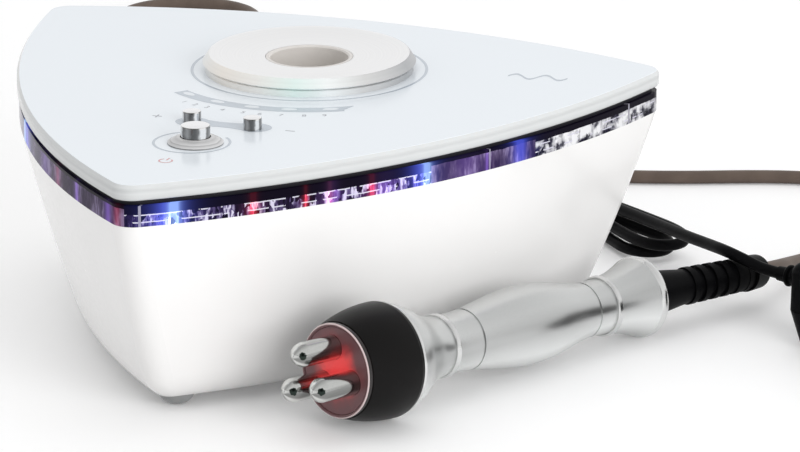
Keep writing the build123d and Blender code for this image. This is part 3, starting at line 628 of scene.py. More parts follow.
@dataclass(frozen=True)
class Barrel(Coating):
    """A metal barrel lying on its side, with painted light and dark reflections along it, and perhaps a
    painted dark spot where it mirrors the dark behind the camera.
    """

    colour: Colour
    centre: Vector
    axis: Vector
    streaks: Levels
    roughness: float
    grain_mm: float
    grain_depth_mm: float = 0.01
    rough_spread: float = 0.10
    tint: float = 0.06
    # the middle of the painted dark reflection, where the barrel faces the camera
    spot: Vector | None = None
    spot_radius: float = 1.3
    spot_colour: Colour = (0.03, 0.04, 0.035)
    spot_edge_mm: float = 1.2
    spot_grain_mm: float = 0.8

    def paint(self, surface: Surface) -> None:
        """Draw the painted reflections along the barrel, and its painted dark spot.

        Args:
            surface: the material's nodes.
        """
        away = surface.place(centre=self.centre)
        sideways = Vector((-self.axis.y, self.axis.x, 0.0)).normalized()
        share = surface.turn(surface.axes(away)["Z"], surface.dot(away, sideways), 1.0)
        grain = surface.noise(self.grain_mm, 3.0)
        dull = shaded(self.colour, 1.0 - self.tint)
        body = surface.ramp(grain, [(0.35, dull), (0.65, self.colour)])
        # painted reflections: grey levels by the turn round the axis
        colour = surface.times(body, surface.greys(share, self.streaks))
        # the painted dark reflection spot, ragged at its edge
        if self.spot is not None:
            reach = surface.length(surface.place(IN_MM, self.spot))
            ragged = surface.waver(reach, surface.noise(self.spot_grain_mm), self.spot_edge_mm)
            inside = surface.maths("LESS_THAN", ragged, self.spot_radius)
            colour = surface.mix(inside, colour, self.spot_colour)
        surface.colour(colour)
        surface.roughness(grain, self.roughness, self.rough_spread)
        surface.bump(grain, self.grain_depth_mm)
        surface.set(Metallic=1.0)


@dataclass(frozen=True)
class ChromeCap(Coating):
    """Polished chrome on an upright push button, with painted dark and light reflections down its side."""

    centre: Vector
    rise: float
    chamfer_mm: float = 0.35
    sway_mm: float = 1.6
    sway: float = 0.05
    top_colour: Colour = (0.93, 0.93, 0.94)
    # painted reflections: grey levels by the turn round the button's axis
    streaks: Levels = (
        (0.00, 0.60), (0.13, 0.70), (0.16, 0.16), (0.22, 0.34), (0.28, 0.12), (0.345, 0.22), (0.375, 0.92),
        (0.430, 0.92), (0.455, 0.22), (0.56, 0.45), (0.70, 0.75), (0.80, 0.25), (1.00, 0.60),
    )

    def paint(self, surface: Surface) -> None:
        """Paint the reflections down the side under a plain top.

        Args:
            surface: the material's nodes.
        """
        axes = surface.axes(surface.place(centre=self.centre))
        share = surface.turn(axes["Y"], axes["X"], 0.5)
        swayed = surface.waver(share, surface.noise(self.sway_mm, 3.0), self.sway)
        # the painted reflections down the side
        side = surface.greys(swayed, self.streaks)
        flat = surface.maths("GREATER_THAN", axes["Z"], self.rise - self.chamfer_mm * MM)
        surface.colour(surface.mix(flat, side, self.top_colour))
        surface.bump(surface.noise(0.3), 0.004)
        surface.set(Metallic=1.0, Roughness=0.10)


def chrome_cap(button: str) -> ChromeCap:
    """The chrome of a push button, centred on its box."""
    middle = middle_of(button)
    return ChromeCap(middle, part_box(button)[1].z - middle.z)


@dataclass(frozen=True)
class BackPaintedGlass(Coating):
    """White printed glass: a pale blue face, and a greenish edge painted with the pale and dark bands that
    light makes in the clear glass, darker towards its foot.
    """

    top: float
    thickness: float = 5.5
    face: Colour = (0.800, 0.845, 0.890)
    chamfer: Colour = (0.650, 0.664, 0.666)
    side: Colour = (0.568, 0.582, 0.584)

    def paint(self, surface: Surface) -> None:
        """Paint the face, and paint the edge's bands of light and its darker foot.

        Args:
            surface: the material's nodes.
        """
        height = surface.axes(surface.place())["Z"]
        rise = surface.maths("SUBTRACT", height, (self.top - self.thickness) * MM)
        share = surface.maths("DIVIDE", rise, self.thickness * MM, clamp=True)
        flat = surface.maths("GREATER_THAN", share, 0.985)
        # the edge's greenish tint with painted bands of light through the glass, darker towards its foot
        stops = (
            (0.0, shaded(self.side, 0.86)), (0.12, self.side), (0.45, self.chamfer),
            (0.62, self.side), (0.84, self.chamfer), (1.0, self.chamfer),
        )
        edge = surface.ramp(surface.waver(share, surface.noise(9.0, 2.0, (1.0, 1.0, 6.0)), 0.16), stops)
        surface.colour(surface.mix(flat, edge, self.face))
        surface.set(Roughness=0.16, IOR=1.45, Specular_IOR_Level=0.30)


@dataclass(frozen=True)
class ClearRing(Coating):
    """A clear moulded ring, painted with pale and dark lines of light and shade by height, darkest at its
    foot.
    """

    foot: float
    height: float
    # painted light and shade: grey levels by height up the ring
    steps: Levels = (
        (0.00, 0.16), (0.14, 0.24), (0.20, 0.62), (0.42, 0.50), (0.50, 0.36), (0.58, 0.60), (0.86, 0.46),
        (1.00, 0.66),
    )

    def paint(self, surface: Surface) -> None:
        """Paint the ring's light and shade as lines by height.

        Args:
            surface: the material's nodes.
        """
        rise = surface.maths("SUBTRACT", surface.axes(surface.place())["Z"], self.foot * MM)
        share = surface.maths("DIVIDE", rise, self.height * MM, clamp=True)
        wander = surface.waver(share, surface.noise(2.5), 0.12)
        stops = [(spot, (level, level, level * 1.01)) for spot, level in self.steps]
        surface.colour(surface.ramp(wander, stops))
        surface.set(Roughness=0.12, Specular_IOR_Level=0.5)


@dataclass(frozen=True)
class Glow:
    """One light in the band: its place along it, how wide it glows, and its colour and strength."""

    along: float
    width: float
    colour: Colour
    strength: float


BLUE: Colour = (0.10, 0.14, 1.0)
ICE: Colour = (0.45, 0.70, 1.0)
RED: Colour = (1.0, 0.06, 0.08)
VIOLET: Colour = (0.28, 0.14, 0.70)
PINK: Colour = (0.90, 0.20, 0.42)


@dataclass(frozen=True)
class SmokyBand(Coating):
    """Clear, dark violet plastic with broken reflections, lit from inside.

    A place along the band runs from 0 at the front tip to 3, one for each side.
    """

    base: Base
    height: float = 7.2
    calm_side: tuple[float, float] = (0.475, 0.72)
    clear_side: tuple[float, float] = (0.72, 1.02)
    left_side_from: float = 2.0
    tip_at: float = 1.25
    facets_per_m: Spot = (620.0, 620.0, 330.0)
    streak_mm: float = 1.1
    ripple_mm: float = 5.0
    border: float = 0.58
    border_rise: float = 0.28
    steady_light: float = 0.55
    faint_light: float = 0.05
    high: tuple[Glow, ...] = (
        Glow(0.053, 0.0045, ICE, 3.4),
        Glow(0.048, 0.0170, BLUE, 1.3),
        Glow(0.466, 0.0070, ICE, 2.6),
        Glow(0.455, 0.0280, BLUE, 1.0),
        Glow(0.684, 0.0170, BLUE, 1.3),
        Glow(1.250, 0.0300, BLUE, 0.9),
        Glow(1.750, 0.0300, BLUE, 0.9),
        Glow(2.545, 0.0090, ICE, 1.8),
        Glow(2.575, 0.0350, BLUE, 0.8),
    )
    low: tuple[Glow, ...] = (
        Glow(0.150, 0.0050, RED, 1.8),
        Glow(0.229, 0.0040, RED, 1.1),
        Glow(0.270, 0.0060, PINK, 0.9),
        Glow(0.275, 0.0140, VIOLET, 0.8),
        Glow(0.349, 0.0060, RED, 1.6),
        Glow(0.375, 0.0300, VIOLET, 0.6),
        Glow(0.560, 0.0500, VIOLET, 0.4),
        Glow(0.605, 0.0040, VIOLET, 1.0),
        Glow(1.500, 0.0250, VIOLET, 0.8),
        Glow(2.740, 0.0300, VIOLET, 0.35),
        Glow(2.810, 0.0100, PINK, 0.35),
        Glow(2.886, 0.0060, VIOLET, 0.9),
        Glow(2.972, 0.0080, VIOLET, 0.8),
        Glow(2.990, 0.0060, RED, 0.35),
    )
    unlit: Colour = (0.002, 0.001, 0.006)
    seams: tuple[float, ...] = (0.0175, 0.612, 0.929, 1.5, 2.335)
    seam_half: float = 0.0014
    seam_colour: Colour = (0.30, 0.29, 0.34)
    lines: tuple[float, ...] = (0.56, 0.22)
    line_half: float = 0.028
    line_colour: Colour = (0.60, 0.59, 0.68)
    shadow: Colour = (0.002, 0.001, 0.004)
    dark_tones: Stops = (
        (0.12, (0.003, 0.002, 0.006)), (0.24, (0.018, 0.011, 0.036)), (0.32, (0.100, 0.075, 0.170)),
        (0.43, (0.600, 0.570, 0.700)),
    )
    pale_tones: Stops = (
        (0.42, (0.008, 0.008, 0.012)), (0.47, (0.090, 0.090, 0.105)), (0.51, (0.360, 0.360, 0.380)),
        (0.61, (0.760, 0.760, 0.770)),
    )
    soft_tones: Stops = (
        (0.36, (0.026, 0.017, 0.040)), (0.50, (0.075, 0.054, 0.100)), (0.62, (0.200, 0.160, 0.270)),
    )

    def paint(self, surface: Surface) -> None:
        """Draw the reflections, the lines and the lights of the band.

        Args:
            surface: the material's nodes.
        """
        axes = surface.axes(surface.place(IN_MM, Vector((self.base.x, self.base.y, 0.0))))
        around = surface.maths("MULTIPLY", surface.turn(axes["Y"], axes["X"], self.tip_at), 3.0)
        above = surface.maths("SUBTRACT", axes["Z"], self.base.shell_top)
        rise = surface.maths("DIVIDE", above, self.height, clamp=True)
        clear = surface.between(around, *self.clear_side)
        calm = surface.between(around, *self.calm_side)
        left = surface.maths("GREATER_THAN", around, self.left_side_from)
        smooth = surface.maths("ADD", calm, left, clamp=True)
        streak = surface.noise(self.streak_mm, 5.0, (1.0, 1.0, 0.25))
        broken = surface.maths("MULTIPLY", self._facets(surface), streak)
        lower = self._reflections(surface, broken, streak, smooth, clear)
        ripple = surface.waver(rise, surface.noise(self.ripple_mm, 3.0), 0.10)
        plain = surface.maths("ADD", smooth, surface.maths("MULTIPLY", clear, 0.5))
        border = surface.maths("MULTIPLY_ADD", plain, self.border_rise, self.border)
        upper = surface.maths("GREATER_THAN", ripple, border)
        dressed = surface.mix(upper, lower, self.shadow)
        surface.colour(self._edges(surface, dressed, around, ripple, smooth))
        steady = shaded(WHITE, self.steady_light)
        spread = surface.mix(smooth, surface.maths("MULTIPLY_ADD", broken, 3.0, 0.12), steady)
        tall = surface.mix(upper, spread, steady)
        short = surface.mix(upper, spread, shaded(WHITE, self.faint_light))
        tall = surface.times(self._glow(surface, around, self.high), tall)
        short = surface.times(self._glow(surface, around, self.low), short)
        surface.glow(surface.mix(1.0, tall, short, "ADD"), 1.0)
        surface.set(Roughness=0.12, IOR=1.40, Specular_IOR_Level=0.06)

    def _facets(self, surface: Surface) -> Socket:
        """Small blocks of different greys, as the band's inner ribs break the light.

        Args:
            surface: the material's nodes.

        Returns:
            The pattern's socket.
        """
        cell = surface.node("TexVoronoi", feature="F1", distance="CHEBYCHEV")
        cell.inputs["Scale"].default_value = 1.0
        surface.join(surface.place(self.facets_per_m), cell.inputs["Vector"])
        grey = surface.node("RGBToBW")
        surface.join(cell.outputs["Color"], grey.inputs[0])
        return grey.outputs[0]

    def _reflections(
        self, surface: Surface, broken: Socket, streak: Socket, smooth: Socket, clear: Socket
    ) -> Socket:
        """What the clear plastic mirrors: broken and dark, pale on its clear side, or soft.

        Args:
            surface: the material's nodes.
            broken: the pattern of blocks and streaks.
            streak: the pattern of streaks.
            smooth: 1 on the sides with soft reflections.
            clear: 1 on the side with pale reflections.

        Returns:
            The colour's socket.
        """
        cloud = surface.noise(6.0, 3.0, (1.0, 1.0, 0.5))
        broad = surface.noise(9.0, 3.0, (1.0, 1.0, 1.6))
        dark = surface.ramp(broken, self.dark_tones)
        patches = surface.maths("MULTIPLY", broad, surface.maths("MULTIPLY_ADD", broken, 0.5, 0.85))
        pale = surface.ramp(patches, self.pale_tones)
        haze = surface.maths("MULTIPLY", cloud, surface.maths("ADD", streak, 0.45))
        soft = surface.ramp(haze, self.soft_tones)
        return surface.mix(smooth, surface.mix(clear, dark, pale), soft)

    def _edges(
        self, surface: Surface, colour: Socket, around: Socket, ripple: Socket, smooth: Socket
    ) -> Socket:
        """Draw the broken lines along the band, and its upright seams.

        Args:
            surface: the material's nodes.
            colour: the colour under the lines.
            around: the place along the band.
            ripple: the height in the band, with a ripple.
            smooth: 1 on the sides that have no lines.

        Returns:
            The colour's socket.
        """
        gaps = surface.maths("GREATER_THAN", surface.noise(self.ripple_mm, 3.0), 0.47)
        keep = surface.maths("MULTIPLY", gaps, surface.maths("SUBTRACT", 1.0, smooth))
        for height in self.lines:
            line = surface.maths("COMPARE", ripple, height, self.line_half)
            colour = surface.mix(surface.maths("MULTIPLY", line, keep), colour, self.line_colour)
        for seam in self.seams:
            near = surface.maths("COMPARE", around, seam, self.seam_half)
            colour = surface.mix(near, colour, self.seam_colour)
        return colour

    def _glow(self, surface: Surface, around: Socket, lights: Sequence[Glow]) -> Socket:
        """Add up the glow of some lights.

        Args:
            surface: the material's nodes.
            around: the place along the band.
            lights: the lights.

        Returns:
            The colour's socket.
        """
        total: Source = self.unlit
        for light in lights:
            away = surface.maths("DIVIDE", surface.maths("SUBTRACT", around, light.along), light.width)
            fall = surface.maths("DIVIDE", 1.0, surface.maths("MULTIPLY_ADD", away, away, 1.0))
            sharp = surface.maths("MULTIPLY", surface.maths("POWER", fall, 1.8), light.strength)
            total = surface.mix(sharp, total, light.colour, "ADD")
        return total


@dataclass(frozen=True)
class LitWindow(Coating):
    """A frosted window lit red from behind, brightest round its lamps."""

    centre: Vector
    radius: float = 15.0
    strength: float = 0.55
    tones: Stops = (
        (0.0, (0.560, 0.022, 0.024)), (0.36, (0.600, 0.040, 0.042)), (0.60, (0.200, 0.045, 0.050)),
        (0.90, (0.120, 0.052, 0.058)),
    )
    lights: Stops = (
        (0.0, (0.90, 0.050, 0.050)), (0.40, (0.55, 0.035, 0.035)), (0.75, (0.03, 0.004, 0.004)),
    )

    def paint(self, surface: Surface) -> None:
        """Light the window from its middle.

        Args:
            surface: the material's nodes.
        """
        reach = surface.length(surface.place(centre=self.centre))
        share = surface.maths("DIVIDE", reach, self.radius * MM, clamp=True)
        patch = surface.waver(share, surface.noise(6.0, 3.0), 0.5)
        surface.colour(surface.ramp(patch, self.tones))
        surface.glow(surface.ramp(patch, self.lights), self.strength)
        surface.bump(surface.noise(0.5), 0.03)
        surface.set(Roughness=0.32)


@dataclass(frozen=True)
class FrostedRim(Coating):
    """The rim round the lit window: as dark a red as the window's edge, with a painted highlight along its
    outer corner.
    """

    centre: Vector
    axis: Vector
    pale_from: float = 15.75
    wall_from: float = 16.15
    pale_depth: float = 0.75
    # the colour of the painted highlight along the outer corner
    pale: Colour = (0.62, 0.50, 0.50)
    wall: Colour = (0.012, 0.009, 0.009)
    reds: Stops = ((0.3, (0.120, 0.052, 0.058)), (0.7, (0.150, 0.066, 0.070)))

    def paint(self, surface: Surface) -> None:
        """Paint the rim's front, the painted highlight along its outer corner, and its wall.

        Args:
            surface: the material's nodes.
        """
        away = surface.place(IN_MM, self.centre)
        along = surface.dot(away, self.axis)
        whole = surface.length(away)
        squares = surface.maths("MULTIPLY", whole, whole), surface.maths("MULTIPLY", along, along)
        reach = surface.maths("SQRT", surface.maths("SUBTRACT", *squares))
        dark = surface.ramp(surface.noise(2.0), self.reds)
        # the painted highlight along the outer corner
        front = surface.mix(surface.maths("GREATER_THAN", reach, self.pale_from), dark, self.pale)
        deep = surface.maths("LESS_THAN", along, self.pale_depth)
        behind = surface.maths("MULTIPLY", deep, surface.maths("GREATER_THAN", reach, self.wall_from))
        surface.colour(surface.mix(behind, front, self.wall))
        surface.bump(surface.noise(0.5), 0.02)
        surface.set(Roughness=0.25)


@dataclass(frozen=True)
class Lamp(Coating):
    """A small light's own surface."""

    colour: Colour
    strength: float

    def paint(self, surface: Surface) -> None:
        """Let the lamp glow in its own colour.

        Args:
            surface: the material's nodes.
        """
        stops = [(0.3, shaded(self.colour, 0.8)), (0.7, self.colour)]
        tone = surface.ramp(surface.noise(1.5, 1.0), stops)
        surface.colour(tone)
        surface.glow(tone, self.strength)
        surface.set(Roughness=0.2)


@dataclass(frozen=True)
class CordJacket(Coating):
    """A cord's soft jacket, with scuffs and a faint sheen."""

    colour: Colour
    shine: float
    roughness: float = 0.45
    rough_spread: float = 0.2
    scuff_mm: float = 7.0
    grain_mm: float = 0.7

    def paint(self, surface: Surface) -> None:
        """Scuff the jacket, and give it a fine grain.

        Args:
            surface: the material's nodes.
        """
        scuffs = surface.noise(self.scuff_mm, 4.0)
        surface.colour(surface.ramp(scuffs, [(0.35, self.colour), (0.75, shaded(self.colour, 1.25))]))
        grain = surface.noise(self.grain_mm)
        surface.roughness(grain, self.roughness, self.rough_spread)
        surface.bump(grain, 0.03)
        surface.set(Specular_IOR_Level=self.shine)


# Painted reflections along the electrodes and the handle: grey levels by the turn round the axis; the
# handle's levels above 1 are a painted highlight.
ROD_REFLECTIONS: Levels = (
    (0.00, 0.30), (0.03, 0.34), (0.07, 0.72), (0.13, 0.78), (0.18, 0.50), (0.24, 0.92), (0.31, 0.80),
    (0.55, 0.55), (0.80, 0.35), (0.86, 0.80), (0.92, 0.92), (0.955, 0.34), (1.00, 0.30),
)
HANDLE_REFLECTIONS: Levels = (
    (0.00, 0.98), (0.04, 0.76), (0.08, 0.74), (0.13, 0.94), (0.20, 1.00), (0.28, 0.84), (0.50, 0.85),
    (0.75, 0.86), (0.83, 0.92), (0.90, 1.22), (0.95, 1.26), (1.00, 0.98),
)
JET: Colour = (0.003, 0.003, 0.0035)


class Finishes:
    """Every finish of the part, made once and kept by its name."""

    def __init__(self, base: Base, hand: Hand) -> None:
        """Make the finishes.

        Args:
            base: the base's place.
            hand: the handpiece's place.
        """
        coatings = self._base_coatings(base) | self._inner_coatings() | self._hand_coatings(hand)
        coatings |= self._cord_coatings() | self._print_coatings()
        self.materials = {finish: coating.build(finish.value) for finish, coating in coatings.items()}

    @staticmethod
    def _base_coatings(base: Base) -> dict[Finish, Coating]:
        """The finishes of the base's outside.

        Args:
            base: the base's place.

        Returns:
            The coatings by their finish.
        """
        holder = base.at(CONTROL_RIGHT, HOLDER_AHEAD, base.glass_top)
        return {
            Finish.SHELL: Plastic(
                (0.900, 0.892, 0.884), roughness=0.24, grain_mm=1.6, tint=0.012, coat=0.25
            ),
            Finish.FOOT: Plastic((0.36, 0.37, 0.37), roughness=0.12, grain_mm=0.8, tint=0.35, coat=0.6),
            Finish.SCREW: Metal((0.62, 0.63, 0.65), roughness=0.28),
            Finish.BAND: SmokyBand(base),
            Finish.FRAME: Plastic((0.006, 0.005, 0.010), shine=0.25),
            Finish.STRIP: Plastic((0.80, 0.80, 0.78), roughness=0.5),
            Finish.BLUE_LIGHT: Lamp((0.15, 0.25, 1.0), 3.0),
            Finish.PALE_LIGHT: Lamp((0.85, 0.90, 0.96), 0.25),
            Finish.GLASS: BackPaintedGlass(base.glass_top),
            Finish.HOLDER: Turned((0.97, 0.97, 0.975), holder, roughness=0.34),
            Finish.WELL: Plastic((0.70, 0.67, 0.64), roughness=0.30, grain_mm=0.8, tint=0.06),
            Finish.POWER_CAP: chrome_cap("power_button"),
            Finish.PLUS_CAP: chrome_cap("plus_button"),
            Finish.MINUS_CAP: chrome_cap("minus_button"),
            Finish.BEZEL: ClearRing(base.glass_top, height=2.3),
            Finish.SOCKET: Plastic((0.010, 0.010, 0.011), roughness=0.30, shine=0.35),
        }

    @staticmethod
    def _inner_coatings() -> dict[Finish, Coating]:
        """The finishes of what is inside the base.

        Returns:
            The coatings by their finish.
        """
        return {
            Finish.BOARD: Plastic(
                (0.03, 0.16, 0.07), roughness=0.32, grain_mm=1.2, grain_depth_mm=0.05, tint=0.3
            ),
            Finish.SWITCH: Plastic((0.03, 0.03, 0.033), roughness=0.4),
            Finish.FERRITE: Plastic(
                (0.10, 0.09, 0.09), roughness=0.55, grain_mm=0.9, grain_depth_mm=0.08, tint=0.2
            ),
            Finish.SLEEVE: Plastic((0.04, 0.05, 0.11), roughness=0.22),
            Finish.SINK: Metal((0.66, 0.67, 0.69), roughness=0.34),
            Finish.RIBBON: Plastic(
                (0.45, 0.46, 0.49), roughness=0.5, grain_mm=0.9, grain_depth_mm=0.1, tint=0.15
            ),
        }

    @staticmethod
    def _hand_coatings(hand: Hand) -> dict[Finish, Coating]:
        """The finishes of the handpiece.

        Args:
            hand: the handpiece's place.

        Returns:
            The coatings by their finish.
        """
        rods = [
            Barrel(
                (0.80, 0.81, 0.79), middle, hand.axis, ROD_REFLECTIONS, roughness=0.12, grain_mm=0.4, spot=spot
            )
            for middle, spot in hand.rods
        ]
        return {
            Finish.COLLAR: Plastic(
                (0.005, 0.0045, 0.0045), roughness=0.36, grain_mm=0.45, tint=0.1, shine=0.12
            ),
            Finish.WINDOW: LitWindow(hand.window),
            Finish.RED_LAMP: Lamp((1.0, 0.10, 0.06), 2.0),
            Finish.ELECTRODE_1: rods[0],
            Finish.ELECTRODE_2: rods[1],
            Finish.ELECTRODE_3: rods[2],
            Finish.INSULATOR: Plastic((0.72, 0.71, 0.67), roughness=0.5),
            Finish.HANDLE: Barrel(
                (0.70, 0.71, 0.705), hand.tail, hand.axis, HANDLE_REFLECTIONS, roughness=0.29, grain_mm=0.16
            ),
            Finish.TRIM: Metal((0.74, 0.745, 0.74), roughness=0.22, grain_mm=0.3, grain_depth_mm=0.008),
            Finish.RIM: FrostedRim(hand.rim, hand.axis),
        }

    @staticmethod
    def _cord_coatings() -> dict[Finish, Coating]:
        """The finishes of the cords, their strain reliefs and the adapter.

        Returns:
            The coatings by their finish.
        """
        return {
            Finish.RELIEF: Plastic(JET, roughness=0.42, grain_depth_mm=0.03, tint=0.2, shine=0.05),
            Finish.CORD_GREY: CordJacket((0.112, 0.084, 0.068), shine=0.25),
            Finish.CORD_BLACK: CordJacket(JET, shine=0.05),
            Finish.ADAPTER: Plastic(
                JET, roughness=0.46, grain_mm=0.5, grain_depth_mm=0.06, tint=0.2, shine=0.05
            ),
            Finish.PIN: Metal((0.72, 0.66, 0.50), roughness=0.22),
        }

    @staticmethod
    def _print_coatings() -> dict[Finish, Coating]:
        """The inks of the prints on the glass.

        Returns:
            The coatings by their finish.
        """
        return {
            Finish.PRINT_GREY: ink((0.470, 0.530, 0.600)),
            Finish.PRINT_FINE: ink((0.360, 0.380, 0.420)),
            Finish.PRINT_RED: ink((0.680, 0.330, 0.330)),
            Finish.PRINT_WHITE: ink((0.740, 0.790, 0.840), tint=0.03),
        }

    def dress(self, piece: bpy.types.Object, finish: Finish) -> None:
        """Give a piece one finish all over.

        Args:
            piece: the piece.
            finish: its finish.
        """
        material = self.materials[finish]
        if piece.data.materials:
            for slot in piece.material_slots:
                slot.material = material
        else:
            piece.data.materials.append(material)


# Sub-assemblies


def finish_mesh(name: str, shape: bmesh.types.BMesh, smooth: bool = False) -> bpy.types.Object:
    """Turn a bmesh into an object in the scene.

    Args:
        name: the piece's name.
        shape: the bmesh, which is freed.
        smooth: whether its faces are shaded smooth.

    Returns:
        The object.
    """
    bmesh.ops.recalc_face_normals(shape, faces=shape.faces)
    mesh = bpy.data.meshes.new(name)
    shape.to_mesh(mesh)
    shape.free()
    if smooth:
        mesh.shade_smooth()
        mesh.set_sharp_from_angle(angle=math.radians(32.0))
    piece = bpy.data.objects.new(name, mesh)
    bpy.context.scene.collection.objects.link(piece)
    return piece


@dataclass
class SubAssembly:
    """Solids and new pieces that belong together."""

    finishes: Finishes
    base: Base
    nodes: dict[str, bpy.types.Object]
    solids: ClassVar[dict[str, Finish]] = {}

    def build(self) -> None:
        """Give each of its solids its finish, then make its new pieces."""
        for name, finish in self.solids.items():
            self.finishes.dress(self.nodes[name], finish)
            log.info("%s: %s in %s", type(self).__name__, name, finish.value)
        self.make()

    def make(self) -> None:
        """Make its new pieces; a group of solids alone has none."""

    def settle(
        self,
        piece: bpy.types.Object,
        finish: Finish,
        slot: Slot | None = None,
        stands_for: Sequence[str] = (),
    ) -> bpy.types.Object:
        """Dress a new piece and let it ride on the base.

        Args:
            piece: the piece.
            finish: its finish.
            slot: its finish in the record; not used.
            stands_for: the solids that it is seen instead of.

        Returns:
            The piece.
        """
        self.finishes.dress(piece, finish)
        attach(piece, Body.ROOT.value)
        if stands_for:
            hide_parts(*stands_for)
        log.info("%s: %s made", type(self).__name__, piece.name)
        return piece


class Housing(SubAssembly):
    """The white shell with its feet, the lit band, the frame and the glass."""

    solids = {
        "bottom_shell": Finish.SHELL,
        "feet": Finish.FOOT,
        "case_screws": Finish.SCREW,
        "light_band": Finish.BAND,
        "top_frame": Finish.FRAME,
        "light_strip": Finish.STRIP,
        "band_lights": Finish.BLUE_LIGHT,
        "glass_top": Finish.GLASS,
    }


class Controls(SubAssembly):
    """The three push buttons with the board and the switches under them, and the level lights."""

    solids = {
        "power_bezel": Finish.BEZEL,
        "power_button": Finish.POWER_CAP,
        "plus_button": Finish.PLUS_CAP,
        "minus_button": Finish.MINUS_CAP,
        "button_board": Finish.BOARD,
        "board_screws": Finish.SCREW,
        "tact_switches": Finish.SWITCH,
        "level_lights": Finish.PALE_LIGHT,
    }


class Electronics(SubAssembly):
    """The main board with its parts, and the two sockets at the back."""

    solids = {
        "main_board": Finish.BOARD,
        "rf_transformer": Finish.FERRITE,
        "capacitors": Finish.SLEEVE,
        "heat_sink": Finish.SINK,
        "output_transistors": Finish.SWITCH,
        "beeper": Finish.SWITCH,
        "board_ribbon": Finish.RIBBON,
        "handpiece_socket": Finish.SOCKET,
        "handpiece_socket_nut": Finish.SOCKET,
        "dc_socket": Finish.SOCKET,
        "dc_socket_nut": Finish.SCREW,
    }


class Handpiece(SubAssembly):
    """The turned handle, and the head with its window and electrodes."""

    solids = {
        "head_collar": Finish.COLLAR,
        "window_ring": Finish.RIM,
        "head_window": Finish.WINDOW,
        "electrode_1": Finish.ELECTRODE_1,
        "electrode_2": Finish.ELECTRODE_2,
        "electrode_3": Finish.ELECTRODE_3,
        "electrode_insulator": Finish.INSULATOR,
        "electrode_nuts": Finish.SCREW,
        "lamp_board": Finish.INSULATOR,
        "red_lamps": Finish.RED_LAMP,
        "head_ring": Finish.TRIM,
        "handle_tube": Finish.HANDLE,
        "handle_core": Finish.COLLAR,
        "trim_rings": Finish.TRIM,
        "tail_ring": Finish.TRIM,
        "tail_plug": Finish.TRIM,
        "strain_relief": Finish.RELIEF,
    }


class Adapter(SubAssembly):
    """The plug-in adapter."""

    solids = {
        "adapter_lower_case": Finish.ADAPTER,
        "adapter_upper_case": Finish.ADAPTER,
        "adapter_pins": Finish.PIN,
        "adapter_relief": Finish.RELIEF,
    }


# Cords


